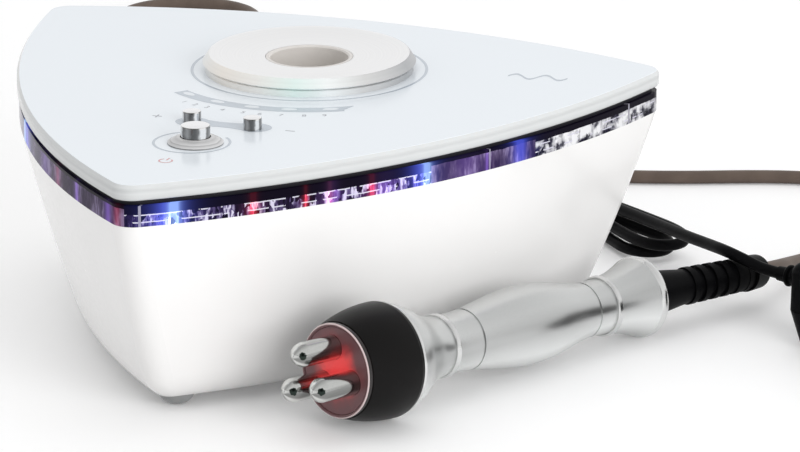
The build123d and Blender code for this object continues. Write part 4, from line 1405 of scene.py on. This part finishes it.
@dataclass
class Cords(SubAssembly):
    """The handpiece's cord and the power cord with its hank, each along its own route, and their plugs."""

    solids = {
        "handpiece_plug": Finish.SOCKET,
        "handpiece_plug_relief": Finish.RELIEF,
        "dc_plug": Finish.SOCKET,
        "dc_plug_relief": Finish.RELIEF,
    }

    hand_diameter: float = 5.0
    power_diameter: float = 4.2
    table_play: float = 0.1
    recess_wall: float = 72.0
    recess_middle: float = 38.0
    socket_spread: float = 24.0
    hand_plug_reach: float = 48.1
    hand_plug_run: float = 22.0
    power_plug_reach: float = 39.7
    relief_end: Spot = (148.0, 85.0, 12.0)
    relief_turn: float = 14.0
    relief_drop: float = 0.13
    relief_run: float = 13.0
    hank_tip: tuple[float, float] = (109.0, 113.0)
    hank_ahead: Spot = (0.787, -0.617, 0.0)
    hank_length: float = 116.0
    hank_width: float = 21.5
    hank_height: float = 14.6
    hank_entry: float = 38.0
    turn_slack: float = 0.6
    turn_climb: float = 5.1
    turn_gaps: Levels = ((12.0, 2.1), (2.1, 6.5), (2.1, 6.5))
    waist: float = 3.4
    shoulder: float = 6.6
    shoulder_ahead: float = 22.0
    shoulder_behind: float = -24.0
    tie_width: float = 11.8
    tie_height: float = 13.4
    tie_length: float = 5.0
    tie_corner: float = 4.2
    tie_thickness: float = 0.7
    tie_lift: float = 0.8
    adapter_face: Spot = (180.1, 60.4, 18.2)
    adapter_ahead: Spot = (0.949, -0.316, 0.0)
    adapter_relief: float = 19.0
    relief_ring_count: int = 4
    relief_ring_start: float = 3.5
    relief_ring_pitch: float = 3.6
    relief_ring_reach: float = 3.75
    relief_ring_taper: float = 0.2
    relief_ring_radius: float = 0.75

    @staticmethod
    def curve(name: str, points: Iterable[Vector], diameter: float) -> bpy.types.Object:
        """A smooth round cord through a list of control points.

        Args:
            name: the cord's name.
            points: its control points, in metres.
            diameter: its diameter in millimetres.

        Returns:
            The curve object.
        """
        data = bpy.data.curves.new(name, "CURVE")
        data.dimensions = "3D"
        data.bevel_depth = diameter / 2 * MM
        data.bevel_resolution = 6
        data.resolution_u = 8
        data.use_fill_caps = True
        spline = data.splines.new("NURBS")
        places = list(points)
        spline.points.add(len(places) - 1)
        for point, place in zip(spline.points, places):
            point.co = (*place, 1.0)
        spline.order_u = 3
        spline.use_endpoint_u = True
        cord = bpy.data.objects.new(name, data)
        bpy.context.scene.collection.objects.link(cord)
        return cord

    def hand_route(self) -> list[Vector]:
        """The route of the handpiece's cord, from its strain relief to its plug.

        Returns:
            Its control points.
        """
        at = self.base.at
        turn = math.radians(self.relief_turn)
        away = Vector((math.sin(turn), math.cos(turn), -self.relief_drop)).normalized()
        start = at(*self.relief_end)
        lie = self.hand_diameter / 2 + self.table_play
        plug_end = at(-self.socket_spread, self.recess_wall + self.hand_plug_reach, self.recess_middle)
        return [
            start,
            start + away * self.relief_run * MM,
            at(151.5, 116.0, 6.6),
            at(156.0, 140.0, lie + 0.6),
            at(166.0, 166.0, lie),
            at(168.0, 196.0, lie),
            at(154.0, 222.0, lie),
            at(133.0, 233.0, lie),
            at(112.0, 233.5, lie),
            at(59.0, 209.0, lie),
            at(3.0, 199.0, lie),
            at(-56.0, 186.0, lie),
            at(-107.0, 192.0, lie),
            at(-144.0, 222.0, lie),
            at(-171.0, 267.5, lie),
            at(-201.0, 319.0, lie),
            at(-222.1, 351.3, lie),
            at(-219.5, 371.8, lie),
            at(-204.5, 386.0, lie),
            at(-183.9, 387.6, lie),
            at(-167.0, 375.8, lie),
            at(-158.7, 347.0, lie),
            at(-141.0, 293.5, lie),
            at(-109.0, 241.5, lie + 1.5),
            at(-69.0, 197.5, lie + 6.5),
            at(-34.0, 166.0, 24.0),
            plug_end + Vector((0, self.hand_plug_run * MM, 0)),
            plug_end,
        ]

    def hank_point(self, along: float, across: float, height: float) -> Vector:
        """A point of the hank.

        Args:
            along: distance from its middle towards its tip.
            across: distance to its far side.
            height: height over the table.

        Returns:
            The point in the frame.
        """
        ahead = Vector(self.hank_ahead).normalized()
        side = Vector((-ahead.y, ahead.x, 0.0))
        middle = self.base.at(*self.hank_tip, 0.0) - ahead * self.hank_length / 2 * MM
        return middle + ahead * along * MM + side * across * MM + Vector((0, 0, height * MM))

    def hank_turns(self) -> list[Vector]:
        """The turns of the hank, drawn together at its tie and uneven at its ends.

        The cord comes in at the first turn's waist and leaves two turns later, just past it.

        Returns:
            Their control points.
        """
        half = (self.hank_width - self.power_diameter) / 2 + self.turn_slack
        low = self.power_diameter / 2 + self.table_play
        corner = half * math.tan(math.radians(22.5))
        points = []
        for loop, (tip_gap, tail_gap) in enumerate(self.turn_gaps):
            tip = self.hank_length / 2 - tip_gap
            tail = tail_gap - self.hank_length / 2
            ring = (
                (self.shoulder_behind, -self.shoulder),
                (0.0, -self.waist),
                (self.shoulder_ahead, -self.shoulder),
                (tip - half, -half),
                (tip, -corner),
                (tip, corner),
                (tip - half, half),
                (self.shoulder_ahead, self.shoulder),
                (0.0, self.waist),
                (self.shoulder_behind, self.shoulder),
                (tail + half, half),
                (tail, corner),
                (tail, -corner),
                (tail + half, -half),
            )
            for spot, (along, across) in enumerate(ring):
                height = low + self.turn_climb * (loop + spot / len(ring))
                points.append(self.hank_point(along, across, height))
        two_turns = 2 * len(points) // len(self.turn_gaps)
        return points[1 : two_turns + 2]

    def power_route(self) -> list[Vector]:
        """The route of the power cord, from its plug through the hank to the adapter.

        Returns:
            Its control points.
        """
        at = self.base.at
        start = at(self.socket_spread, self.recess_wall + self.power_plug_reach, self.recess_middle)
        side = self.hank_width / 2
        entry = self.hank_entry - self.hank_length / 2
        top = self.hank_height - self.power_diameter / 2
        ahead = Vector(self.adapter_ahead).normalized()
        mouth = at(*self.adapter_face) - ahead * self.adapter_relief * MM
        into = [
            start,
            start + Vector((0, 12.0, 0)) * MM,
            start + Vector((2.2, 24.0, -7.4)) * MM,
            self.hank_point(entry - 4.0, -side - 9.0, 12.5),
            self.hank_point(entry + 4.0, -side - 1.5, 5.0),
        ]
        out = [
            self.hank_point(self.shoulder_ahead, -5.6, top + 2.6),
            at(96.5, 114.7, 16.5),
            at(118.4, 92.5, 19.5),
            at(131.2, 80.5, 21.2),
            at(140.4, 70.8, 22.8),
            at(147.0, 69.2, 21.2),
            mouth - ahead * 7.0 * MM,
            mouth,
        ]
        return into + self.hank_turns() + out

    def tie(self) -> bpy.types.Object:
        """The flat tie drawn round the middle of the hank.

        Returns:
            The object.
        """
        shape = bmesh.new()
        bmesh.ops.create_grid(shape, x_segments=1, y_segments=1, size=0.5)
        wide = Matrix.Diagonal((self.tie_width, self.tie_height, 1.0, 1.0))
        bmesh.ops.transform(shape, matrix=wide, verts=shape.verts)
        bmesh.ops.bevel(
            shape, geom=shape.verts[:], offset=self.tie_corner, segments=8, profile=0.5, affect="VERTICES",
            material=-1,
        )
        bmesh.ops.delete(shape, geom=shape.faces[:], context="FACES_ONLY")
        made = bmesh.ops.extrude_edge_only(shape, edges=shape.edges[:])["geom"]
        drawn = [item for item in made if isinstance(item, bmesh.types.BMVert)]
        bmesh.ops.translate(shape, vec=(0.0, 0.0, self.tie_length), verts=drawn)
        bmesh.ops.recalc_face_normals(shape, faces=shape.faces)
        bmesh.ops.solidify(shape, geom=shape.faces[:], thickness=self.tie_thickness)
        ahead = self.hank_point(1.0, 0.0, 0.0) - self.hank_point(0.0, 0.0, 0.0)
        side = Vector((-ahead.y, ahead.x, 0.0))
        turn = Matrix((side, Vector((0, 0, MM)), ahead)).transposed().to_4x4()
        spot = self.hank_point(-self.tie_length / 2, 0.0, self.tie_height / 2 + self.tie_lift)
        bmesh.ops.transform(shape, matrix=Matrix.Translation(spot) @ turn, verts=shape.verts)
        return finish_mesh("cord_tie", shape)

    def relief_rings(self) -> bpy.types.Object:
        """The rings of the adapter's strain relief.

        Returns:
            The object.
        """
        shape = bmesh.new()
        for ring in range(self.relief_ring_count):
            away = self.relief_ring_start + self.relief_ring_pitch * ring
            reach = self.relief_ring_reach - self.relief_ring_taper * ring
            lip = bmesh.ops.create_circle(shape, segments=10, radius=self.relief_ring_radius * MM)["verts"]
            stand = Matrix.Translation((reach * MM, 0, -away * MM)) @ Matrix.Rotation(math.pi / 2, 4, "X")
            bmesh.ops.transform(shape, matrix=stand, verts=lip)
            edges = list(dict.fromkeys(edge for vert in lip for edge in vert.link_edges))
            bmesh.ops.spin(
                shape, geom=lip + edges, cent=(0, 0, 0), axis=(0, 0, 1), angle=FULL_TURN, steps=32,
                use_merge=True,
            )
        turn = Vector(self.adapter_ahead).to_track_quat("Z", "Y").to_matrix().to_4x4()
        face = Matrix.Translation(self.base.at(*self.adapter_face))
        bmesh.ops.transform(shape, matrix=face @ turn, verts=shape.verts)
        return finish_mesh("adapter_relief_rings", shape, smooth=True)

    def make(self) -> None:
        points = self.hand_route()
        hand = self.curve("handpiece_cord_line", points, self.hand_diameter)
        self.settle(hand, Finish.CORD_GREY, Slot.CORD_GREY, ["handpiece_cord"])
        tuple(points[0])
        tie = self.settle(self.tie(), Finish.RELIEF, stands_for=["hank_tie"])
        rings = self.settle(self.relief_rings(), Finish.RELIEF, Slot.RELIEF)
        points = self.power_route()
        power = self.curve("power_cord_line", points, self.power_diameter)
        self.settle(power, Finish.CORD_BLACK, Slot.CORD_BLACK, ["socket_lead", "dc_hank", "adapter_lead"])
        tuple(points[0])


# Holder


@dataclass
class Holder(SubAssembly):
    """The round metal holder: a low step on the glass, a disc that dips to its bore, and the well."""

    solids = {
        "holder_step": Finish.HOLDER,
        "holder_disc": Finish.HOLDER,
        "holder_well": Finish.WELL,
    }

    step_radius: float = 36.6
    step_height: float = 2.3
    step_chamfer: float = 0.3
    seat_radius: float = 34.0
    groove: float = 0.4
    disc_radius: float = 37.5
    disc_height: float = 3.5
    disc_chamfer: float = 0.5
    top_radius: float = 35.4
    edge_out: float = 0.15
    edge_in: float = 0.1
    edge_down: float = 0.2
    rim_width: float = 1.6
    dish: float = 1.5
    dish_steps: int = 10
    bore_radius: float = 15.45
    well_outer: float = 15.3
    well_radius: float = 13.7
    well_edge: float = 0.5
    well_floor: float = 2.0
    lip_width: float = 2.0
    lip_height: float = 2.0

    def turned(self, name: str, profile: Sequence[tuple[float, float]], closed: bool) -> bpy.types.Object:
        """Turn a profile round the holder's axis.

        Args:
            name: the piece's name.
            profile: its radii and heights in millimetres.
            closed: whether the profile closes on itself, clear of the axis.

        Returns:
            The object.
        """
        shape = bmesh.new()
        places = [(across * MM, 0, up * MM) for across, up in profile]
        rim = [bmesh.ops.create_vert(shape, co=place)["vert"][0] for place in places]
        pairs = list(zip(rim, rim[1:] + rim[:1] if closed else rim[1:]))
        edges = [shape.edges.new(pair) for pair in pairs]
        bmesh.ops.spin(
            shape, geom=rim + edges, cent=(0, 0, 0), axis=(0, 0, 1), angle=FULL_TURN, steps=128,
            use_merge=True,
        )
        bmesh.ops.remove_doubles(shape, verts=shape.verts, dist=0.001 * MM)
        bmesh.ops.translate(shape, vec=self.base.at(CONTROL_RIGHT, HOLDER_AHEAD, 0), verts=shape.verts)
        return finish_mesh(name, shape, smooth=True)

    def step(self, glass: float, seat: float, under: float) -> bpy.types.Object:
        """The low step under the disc.

        Args:
            glass: the height of the glass.
            seat: the height of the step's top.
            under: the height of the disc's underside.

        Returns:
            The object.
        """
        profile = [
            (self.bore_radius, glass),
            (self.step_radius, glass),
            (self.step_radius, seat - self.step_chamfer),
            (self.step_radius - self.step_chamfer, seat),
            (self.seat_radius, seat),
            (self.seat_radius, under),
            (self.bore_radius, under),
        ]
        return self.turned("holder_step_turned", profile, True)

    def disc(self, under: float, top: float) -> bpy.types.Object:
        """The disc, flat along its rim and dipping in a curve to its bore.

        Args:
            under: the height of its underside.
            top: the height of its rim.

        Returns:
            The object.
        """
        inner = self.top_radius - self.rim_width
        span = inner - self.bore_radius
        shares = [step / self.dish_steps for step in range(self.dish_steps + 1)]
        hollow = [
            (inner - span * share, top - self.dish * math.sin(share * math.pi / 2)) for share in shares
        ]
        profile = [
            (self.bore_radius, under),
            (self.disc_radius - self.disc_chamfer, under),
            (self.disc_radius, under + self.disc_chamfer),
            (self.top_radius + self.edge_out, top - self.edge_down),
            (self.top_radius - self.edge_in, top),
            *hollow,
        ]
        return self.turned("holder_disc_turned", profile, True)

    def well(self, mouth: float) -> bpy.types.Object:
        """The cup that the handpiece stands in, hung by its lip from the frame.

        Args:
            mouth: the height of its mouth.

        Returns:
            The object.
        """
        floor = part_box("holder_well")[0].z / MM
        lip = self.base.band_top
        lip_radius = self.well_outer + self.lip_width
        profile = [
            (0.0, floor),
            (self.well_outer, floor),
            (self.well_outer, lip - self.lip_height),
            (lip_radius, lip - self.lip_height),
            (lip_radius, lip),
            (self.well_outer, lip),
            (self.well_outer, mouth),
            (self.well_radius + self.well_edge, mouth),
            (self.well_radius, mouth - self.well_edge),
            (self.well_radius, floor + self.well_floor),
            (0.0, floor + self.well_floor),
        ]
        return self.turned("holder_well_turned", profile, False)

    def make(self) -> None:
        """Make the step, the disc and the well."""
        glass = self.base.glass_top
        seat = glass + self.step_height
        under = seat + self.groove
        top = under + self.disc_height
        self.settle(self.step(glass, seat, under), Finish.HOLDER, Slot.HOLDER, ["holder_step"])
        self.settle(self.disc(under, top), Finish.HOLDER, Slot.HOLDER, ["holder_disc"])
        self.settle(self.well(top - self.dish), Finish.WELL, Slot.WELL, ["holder_well"])


# Prints on the glass


@dataclass
class GlassPrints(SubAssembly):
    """The thin prints on the glass: rings, the scale and its numbers, and the marks by the buttons."""

    lift: float = 0.04
    holder_ring: float = 41.2
    holder_ring_width: float = 1.0
    power_ring: float = 12.9
    power_ring_width: float = 0.9
    power_ring_turn: float = 138.5
    power_spot: tuple[float, float] = (0.8, -79.0)
    scale_inner: float = 50.2
    scale_outer: float = 55.6
    scale_turn: float = 35.0
    tip_width: float = 2.4
    tip_turn: float = 5.0
    tip_flare: float = 1.6
    tip_end: float = 0.1
    arc_step: float = 3.0
    light_size: tuple[float, float] = (5.6, 2.8)
    light_inset: float = 0.4
    light_lift: float = 0.03
    light_turns: tuple[float, ...] = (-30.0, -14.6, 0.4, 14.9, 30.4)
    number_size: float = 3.4
    number_gap: float = 4.4
    number_turns: tuple[float, ...] = (-23.4, -18.4, -13.4, -7.4, 0.2, 6.0, 13.1, 20.7, 27.4)
    level_spread: float = 11.2
    level_ahead: float = -56.3
    field_size: tuple[float, float] = (12.0, 10.6)
    field_back: float = 1.2
    waist_back: float = 1.0
    waist_lift: float = 0.01
    waist_gap: float = 3.0
    waist_width: float = 6.0
    waist_flare: float = 3.4
    button_turn: float = 3.0
    sign_length: float = 3.4
    sign_width: float = 0.6
    minus_spot: tuple[float, float] = (26.2, -54.0)
    plus_spot: tuple[float, float] = (-23.1, -53.6)
    power_sign_spot: tuple[float, float] = (1.5, -102.4)
    power_sign_radii: tuple[float, float] = (1.9, 2.5)
    power_sign_turn: float = 145.0
    power_sign_bar: tuple[float, float] = (0.6, 2.8)
    power_sign_top: float = 2.0
    wave_spot: tuple[float, float] = (80.5, 40.6)
    wave_turn: float = 11.0
    wave_length: float = 21.0
    wave_height: float = 2.8
    wave_width: float = 1.7

    def place(
        self, shape: bmesh.types.BMesh, x: float, y: float, turn: float = 0.0, extra: float = 0.0
    ) -> None:
        """Lay a shape drawn in millimetres on the glass.

        Args:
            shape: the shape, drawn round its own middle.
            x: distance to the right of the base's middle.
            y: distance to the back.
            turn: how far it is turned, in degrees.
            extra: how much higher than the other prints it lies.
        """
        spot = self.base.at(x, y, self.base.glass_top + self.lift + extra)
        spin = Matrix.Rotation(math.radians(turn), 4, "Z")
        lay = Matrix.Translation(spot) @ spin @ Matrix.Scale(MM, 4)
        bmesh.ops.transform(shape, matrix=lay, verts=shape.verts)

    def piece(self, name: str, shape: bmesh.types.BMesh, finish: Finish) -> None:
        """Make a print of a shape that is already in place.

        Args:
            name: the piece's name.
            shape: its shape.
            finish: its finish.
        """
        self.settle(finish_mesh(name, shape), finish, Slot.GLASS)

    def arc(self, inner: float, outer: float, start: float, end: float) -> bmesh.types.BMesh:
        """A flat arc round the origin; its turns are measured from the front, towards the right.

        Args:
            inner: its inner radius.
            outer: its outer radius.
            start: the turn where it starts, in degrees.
            end: the turn where it ends.

        Returns:
            The arc.
        """
        shape = bmesh.new()
        direction = Vector((math.sin(math.radians(start)), -math.cos(math.radians(start)), 0.0))
        ends = [bmesh.ops.create_vert(shape, co=direction * reach)["vert"][0] for reach in (inner, outer)]
        edge = shape.edges.new(ends)
        full = abs(end - start) >= 360.0
        steps = max(8, round(abs(end - start) / self.arc_step))
        bmesh.ops.spin(
            shape, geom=[*ends, edge], cent=(0, 0, 0), axis=(0, 0, 1), angle=math.radians(end - start),
            steps=steps, use_merge=full,
        )
        return shape

    @staticmethod
    def oval(
        shape: bmesh.types.BMesh, x: float, y: float, size: tuple[float, float], turn: float = 0.0
    ) -> None:
        """Add a flat oval to a shape.

        Args:
            shape: the shape it is added to.
            x: how far right its middle lies.
            y: how far back its middle lies.
            size: its width and depth.
            turn: how far it is turned, in degrees.
        """
        spot = Matrix.Translation((x, y, 0)) @ Matrix.Rotation(math.radians(turn), 4, "Z")
        grow = Matrix.Diagonal((size[0] / 2, size[1] / 2, 1.0, 1.0))
        bmesh.ops.create_circle(shape, cap_ends=True, segments=40, radius=1.0, matrix=spot @ grow)

    @staticmethod
    def bar(shape: bmesh.types.BMesh, y: float, wide: float, deep: float) -> None:
        """Add a flat bar to a shape.

        Args:
            shape: the shape it is added to.
            y: how far behind the shape's middle it lies.
            wide: its width.
            deep: its depth.
        """
        size = Matrix.Translation((0.0, y, 0)) @ Matrix.Diagonal((wide, deep, 1.0, 1.0))
        bmesh.ops.create_grid(shape, x_segments=1, y_segments=1, size=0.5, matrix=size)

    def rings(self) -> None:
        """The ring round the holder and the open ring round the power button."""
        half = self.holder_ring_width / 2
        shape = self.arc(self.holder_ring - half, self.holder_ring + half, 0.0, 360.0)
        self.place(shape, CONTROL_RIGHT, HOLDER_AHEAD)
        self.piece("print_holder_ring", shape, Finish.PRINT_GREY)
        half = self.power_ring_width / 2
        turn = self.power_ring_turn
        shape = self.arc(self.power_ring - half, self.power_ring + half, -turn, turn)
        self.place(shape, *self.power_spot)
        self.piece("print_power_ring", shape, Finish.PRINT_GREY)

    def scale(self) -> None:
        """The grey scale in front of the holder, with its tapered tip."""
        shape = self.arc(self.scale_inner, self.scale_outer, -self.scale_turn, self.scale_turn)
        end = self.scale_turn + self.tip_turn
        tip = self.arc(self.scale_inner, self.scale_inner + self.tip_width, self.scale_turn, end)
        for vert in tip.verts:
            turn = math.degrees(math.atan2(vert.co.x, -vert.co.y))
            share = (end - turn) / self.tip_turn
            across = (vert.co.length - self.scale_inner) * (share * self.tip_flare + self.tip_end)
            vert.co = vert.co.normalized() * (self.scale_inner + across)
        self.place(shape, CONTROL_RIGHT, HOLDER_AHEAD)
        self.piece("print_scale", shape, Finish.PRINT_GREY)
        self.place(tip, CONTROL_RIGHT, HOLDER_AHEAD)
        self.piece("print_scale_tip", tip, Finish.PRINT_GREY)

    def light_windows(self) -> None:
        """The pale windows of the level lights, on the scale."""
        shape = bmesh.new()
        middle = (self.scale_inner + self.scale_outer) / 2 - self.light_inset
        for turn in self.light_turns:
            across = math.radians(turn)
            self.oval(shape, middle * math.sin(across), -middle * math.cos(across), self.light_size, turn)
        self.place(shape, CONTROL_RIGHT, HOLDER_AHEAD, extra=self.light_lift)
        self.piece("print_light_windows", shape, Finish.PRINT_WHITE)

    def numbers(self) -> None:
        """The numbers along the scale."""
        reach = self.scale_outer + self.number_gap
        for number, turn in enumerate(self.number_turns, start=1):
            across = math.radians(turn)
            x = CONTROL_RIGHT + reach * math.sin(across)
            y = HOLDER_AHEAD - reach * math.cos(across)
            self.figure(f"print_number_{number}", str(number), x, y, turn)

    def figure(self, name: str, figure: str, x: float, y: float, turn: float) -> None:
        """Print one figure of the scale.

        Args:
            name: the piece's name.
            figure: the figure.
            x: how far right its middle lies.
            y: how far back its middle lies.
            turn: how far it is turned, in degrees.
        """
        data = bpy.data.curves.new(name + "_line", "FONT")
        data.body = figure
        data.size = self.number_size
        data.align_x = "CENTER"
        data.align_y = "CENTER"
        writing = bpy.data.objects.new(name + "_line", data)
        bpy.context.scene.collection.objects.link(writing)
        bpy.context.view_layer.update()
        flat = bpy.data.meshes.new_from_object(writing.evaluated_get(bpy.context.evaluated_depsgraph_get()))
        shape = bmesh.new()
        shape.from_mesh(flat)
        bpy.data.objects.remove(writing)
        bpy.data.curves.remove(data)
        bpy.data.meshes.remove(flat)
        self.place(shape, x, y, turn)
        self.piece(name, shape, Finish.PRINT_FINE)

    def button_field(self) -> None:
        """The waisted field under the two small buttons."""
        shape = bmesh.new()
        for side in (-1, 1):
            self.oval(shape, side * self.level_spread, 0.0, self.field_size)
        waist = bmesh.new()
        bmesh.ops.create_grid(waist, x_segments=16, y_segments=1, size=0.5)
        for vert in waist.verts:
            away = abs(vert.co.x) * 2
            vert.co.y *= self.waist_width + self.waist_flare * away ** 2
            vert.co.x *= 2 * self.level_spread - self.waist_gap
        self.place(shape, CONTROL_RIGHT, self.level_ahead + self.field_back, self.button_turn)
        self.piece("print_button_field", shape, Finish.PRINT_GREY)
        ahead = self.level_ahead + self.waist_back
        self.place(waist, CONTROL_RIGHT, ahead, self.button_turn, self.waist_lift)
        self.piece("print_button_waist", waist, Finish.PRINT_GREY)

    def signs(self) -> None:
        """The minus and the plus by the small buttons."""
        shape = bmesh.new()
        self.bar(shape, 0.0, self.sign_length, self.sign_width)
        self.place(shape, *self.minus_spot, self.button_turn)
        self.piece("print_minus", shape, Finish.PRINT_FINE)
        shape = bmesh.new()
        self.bar(shape, 0.0, self.sign_length, self.sign_width)
        arm = (self.sign_length - self.sign_width) / 2
        for side in (1, -1):
            self.bar(shape, side * (arm + self.sign_width) / 2, self.sign_width, arm)
        self.place(shape, *self.plus_spot, self.button_turn)
        self.piece("print_plus", shape, Finish.PRINT_FINE)

    def power_mark(self) -> None:
        """A small red on-off sign in front of the power button."""
        shape = self.arc(*self.power_sign_radii, -self.power_sign_turn, self.power_sign_turn)
        self.bar(shape, self.power_sign_top, *self.power_sign_bar)
        self.place(shape, *self.power_sign_spot)
        self.piece("print_power_sign", shape, Finish.PRINT_RED)

    def wave(self) -> None:
        """A plain grey wave line at the right of the glass."""
        shape = bmesh.new()
        bmesh.ops.create_grid(shape, x_segments=48, y_segments=1, size=0.5)
        for vert in shape.verts:
            vert.co.y = vert.co.y * self.wave_width + self.wave_height * math.sin(vert.co.x * 2 * FULL_TURN)
            vert.co.x *= self.wave_length
        self.place(shape, *self.wave_spot, self.wave_turn)
        self.piece("print_wave", shape, Finish.PRINT_GREY)

    def make(self) -> None:
        """Make every print."""
        self.rings()
        self.scale()
        self.light_windows()
        self.numbers()
        self.button_field()
        self.signs()
        self.power_mark()
        self.wave()


# Studio


@dataclass(frozen=True)
class SoftBox:
    """A square lamp that shines at the base: its place in millimetres, its side in metres and its power."""

    name: str
    spot: Spot
    side: float
    power: float


@dataclass
class Studio:
    """The floor, the light and the camera."""

    base: Base
    focal_length: float = 270.0
    sensor: float = 36.0
    seen_from_to: tuple[float, float] = (0.05, 60.0)
    aim_height: float = 40.0
    eye: Spot = (779.5, -1855.4, 648.8)
    look: Spot = (-0.3522, 0.8895, -0.2913)
    floor_half: float = 6.0
    floor_tones: Stops = ((0.3, (0.895, 0.895, 0.900)), (0.7, (0.905, 0.905, 0.905)))
    floor_lift: Colour = (0.14, 0.14, 0.14)
    sky: Levels = ((0.0, 0.92), (0.30, 0.92), (0.62, 0.84), (1.00, 0.70))
    left: Spot = (-0.87, -0.5, 0.0)
    shade_at_left: Levels = ((0.20, 1.0), (0.90, 0.76))
    dark_behind_eye: Levels = ((0.955, 1.0), (0.990, 0.06))
    lamps: tuple[SoftBox, ...] = (
        SoftBox("key_light", (1400.0, -920.0, 540.0), 0.9, 12.8),
        SoftBox("top_light", (-200.0, 300.0, 1700.0), 1.4, 5.0),
    )

    def toward_eye(self) -> Vector:
        """The direction from the base to the camera."""
        return -Vector(self.look).normalized()

    def camera(self) -> None:
        """Stand the camera where the photograph was taken."""
        data = bpy.data.cameras.new("camera")
        data.lens = self.focal_length
        data.sensor_width = self.sensor
        data.clip_start, data.clip_end = self.seen_from_to
        eye = bpy.data.objects.new("camera", data)
        eye.location = self.base.at(*self.eye)
        eye.rotation_euler = Vector(self.look).to_track_quat("-Z", "Y").to_euler()
        bpy.context.scene.collection.objects.link(eye)
        bpy.context.scene.camera = eye

    def floor(self) -> None:
        """A wide pale floor that turns white towards the eye, and keeps the shadows."""
        shape = bmesh.new()
        bmesh.ops.create_grid(shape, x_segments=1, y_segments=1, size=self.floor_half)
        ground = finish_mesh("floor", shape)
        surface = Surface("floor_white")
        surface.colour(surface.ramp(surface.noise(400.0), self.floor_tones))
        surface.set(Roughness=0.5, Specular_IOR_Level=0.2)
        seen = surface.node("LightPath").outputs
        rays = surface.maths("MAXIMUM", seen["Is Camera Ray"], seen["Is Glossy Ray"])
        rays = surface.maths("MAXIMUM", rays, seen["Is Transmission Ray"])
        surface.glow(surface.mix(rays, shaded(WHITE, 0.0), self.floor_lift), 1.0)
        ground.data.materials.append(surface.material)

    def room(self) -> None:
        """A bright room, a little darker overhead and at its left, and dark behind the camera."""
        world = bpy.data.worlds.new("room")
        bpy.context.scene.world = world
        world.use_nodes = True
        nodes = Nodes(world.node_tree)
        where = nodes.node("TexCoord").outputs["Generated"]
        sky = nodes.greys(nodes.axes(where)["Z"], self.sky)
        left = nodes.greys(nodes.dot(where, Vector(self.left).normalized()), self.shade_at_left)
        behind = nodes.greys(nodes.dot(where, self.toward_eye()), self.dark_behind_eye)
        light = nodes.times(nodes.times(sky, left), behind)
        seen = nodes.node("LightPath").outputs["Is Camera Ray"]
        back = nodes.tree.nodes["Background"]
        nodes.join(nodes.mix(seen, light, WHITE), back.inputs["Color"])
        back.inputs["Strength"].default_value = 1.0

    def light(self) -> None:
        """The soft boxes, aimed at the base; its chrome doesn't mirror them."""
        for box in self.lamps:
            data = bpy.data.lights.new(box.name, "AREA")
            data.size = box.side
            data.energy = box.power
            lamp = bpy.data.objects.new(box.name, data)
            lamp.location = self.base.at(*box.spot)
            lamp.visible_glossy = False
            aim = self.base.at(0.0, 0.0, self.aim_height) - lamp.location
            lamp.rotation_euler = aim.to_track_quat("-Z", "Y").to_euler()
            bpy.context.scene.collection.objects.link(lamp)

    def build(self) -> None:
        """Set the room up."""
        self.floor()
        self.room()
        self.light()
        bpy.context.scene.view_settings.view_transform = "Standard"


def main() -> None:
    """Load the part, dress it, add its cords and prints, and stand it in the studio."""
    logging.basicConfig(level=logging.INFO, format="%(name)s: %(message)s")
    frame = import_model()
    base = find_base(frame)
    studio = Studio(base)
    studio.camera()
    finishes = Finishes(base, find_hand(studio.toward_eye()))
    for group in (Cords, Housing, Controls, Electronics, Handpiece, Adapter, Holder, GlassPrints):
        group(finishes, base, frame["nodes"]).build()
    studio.build()


if __name__ == "__main__":
    main()
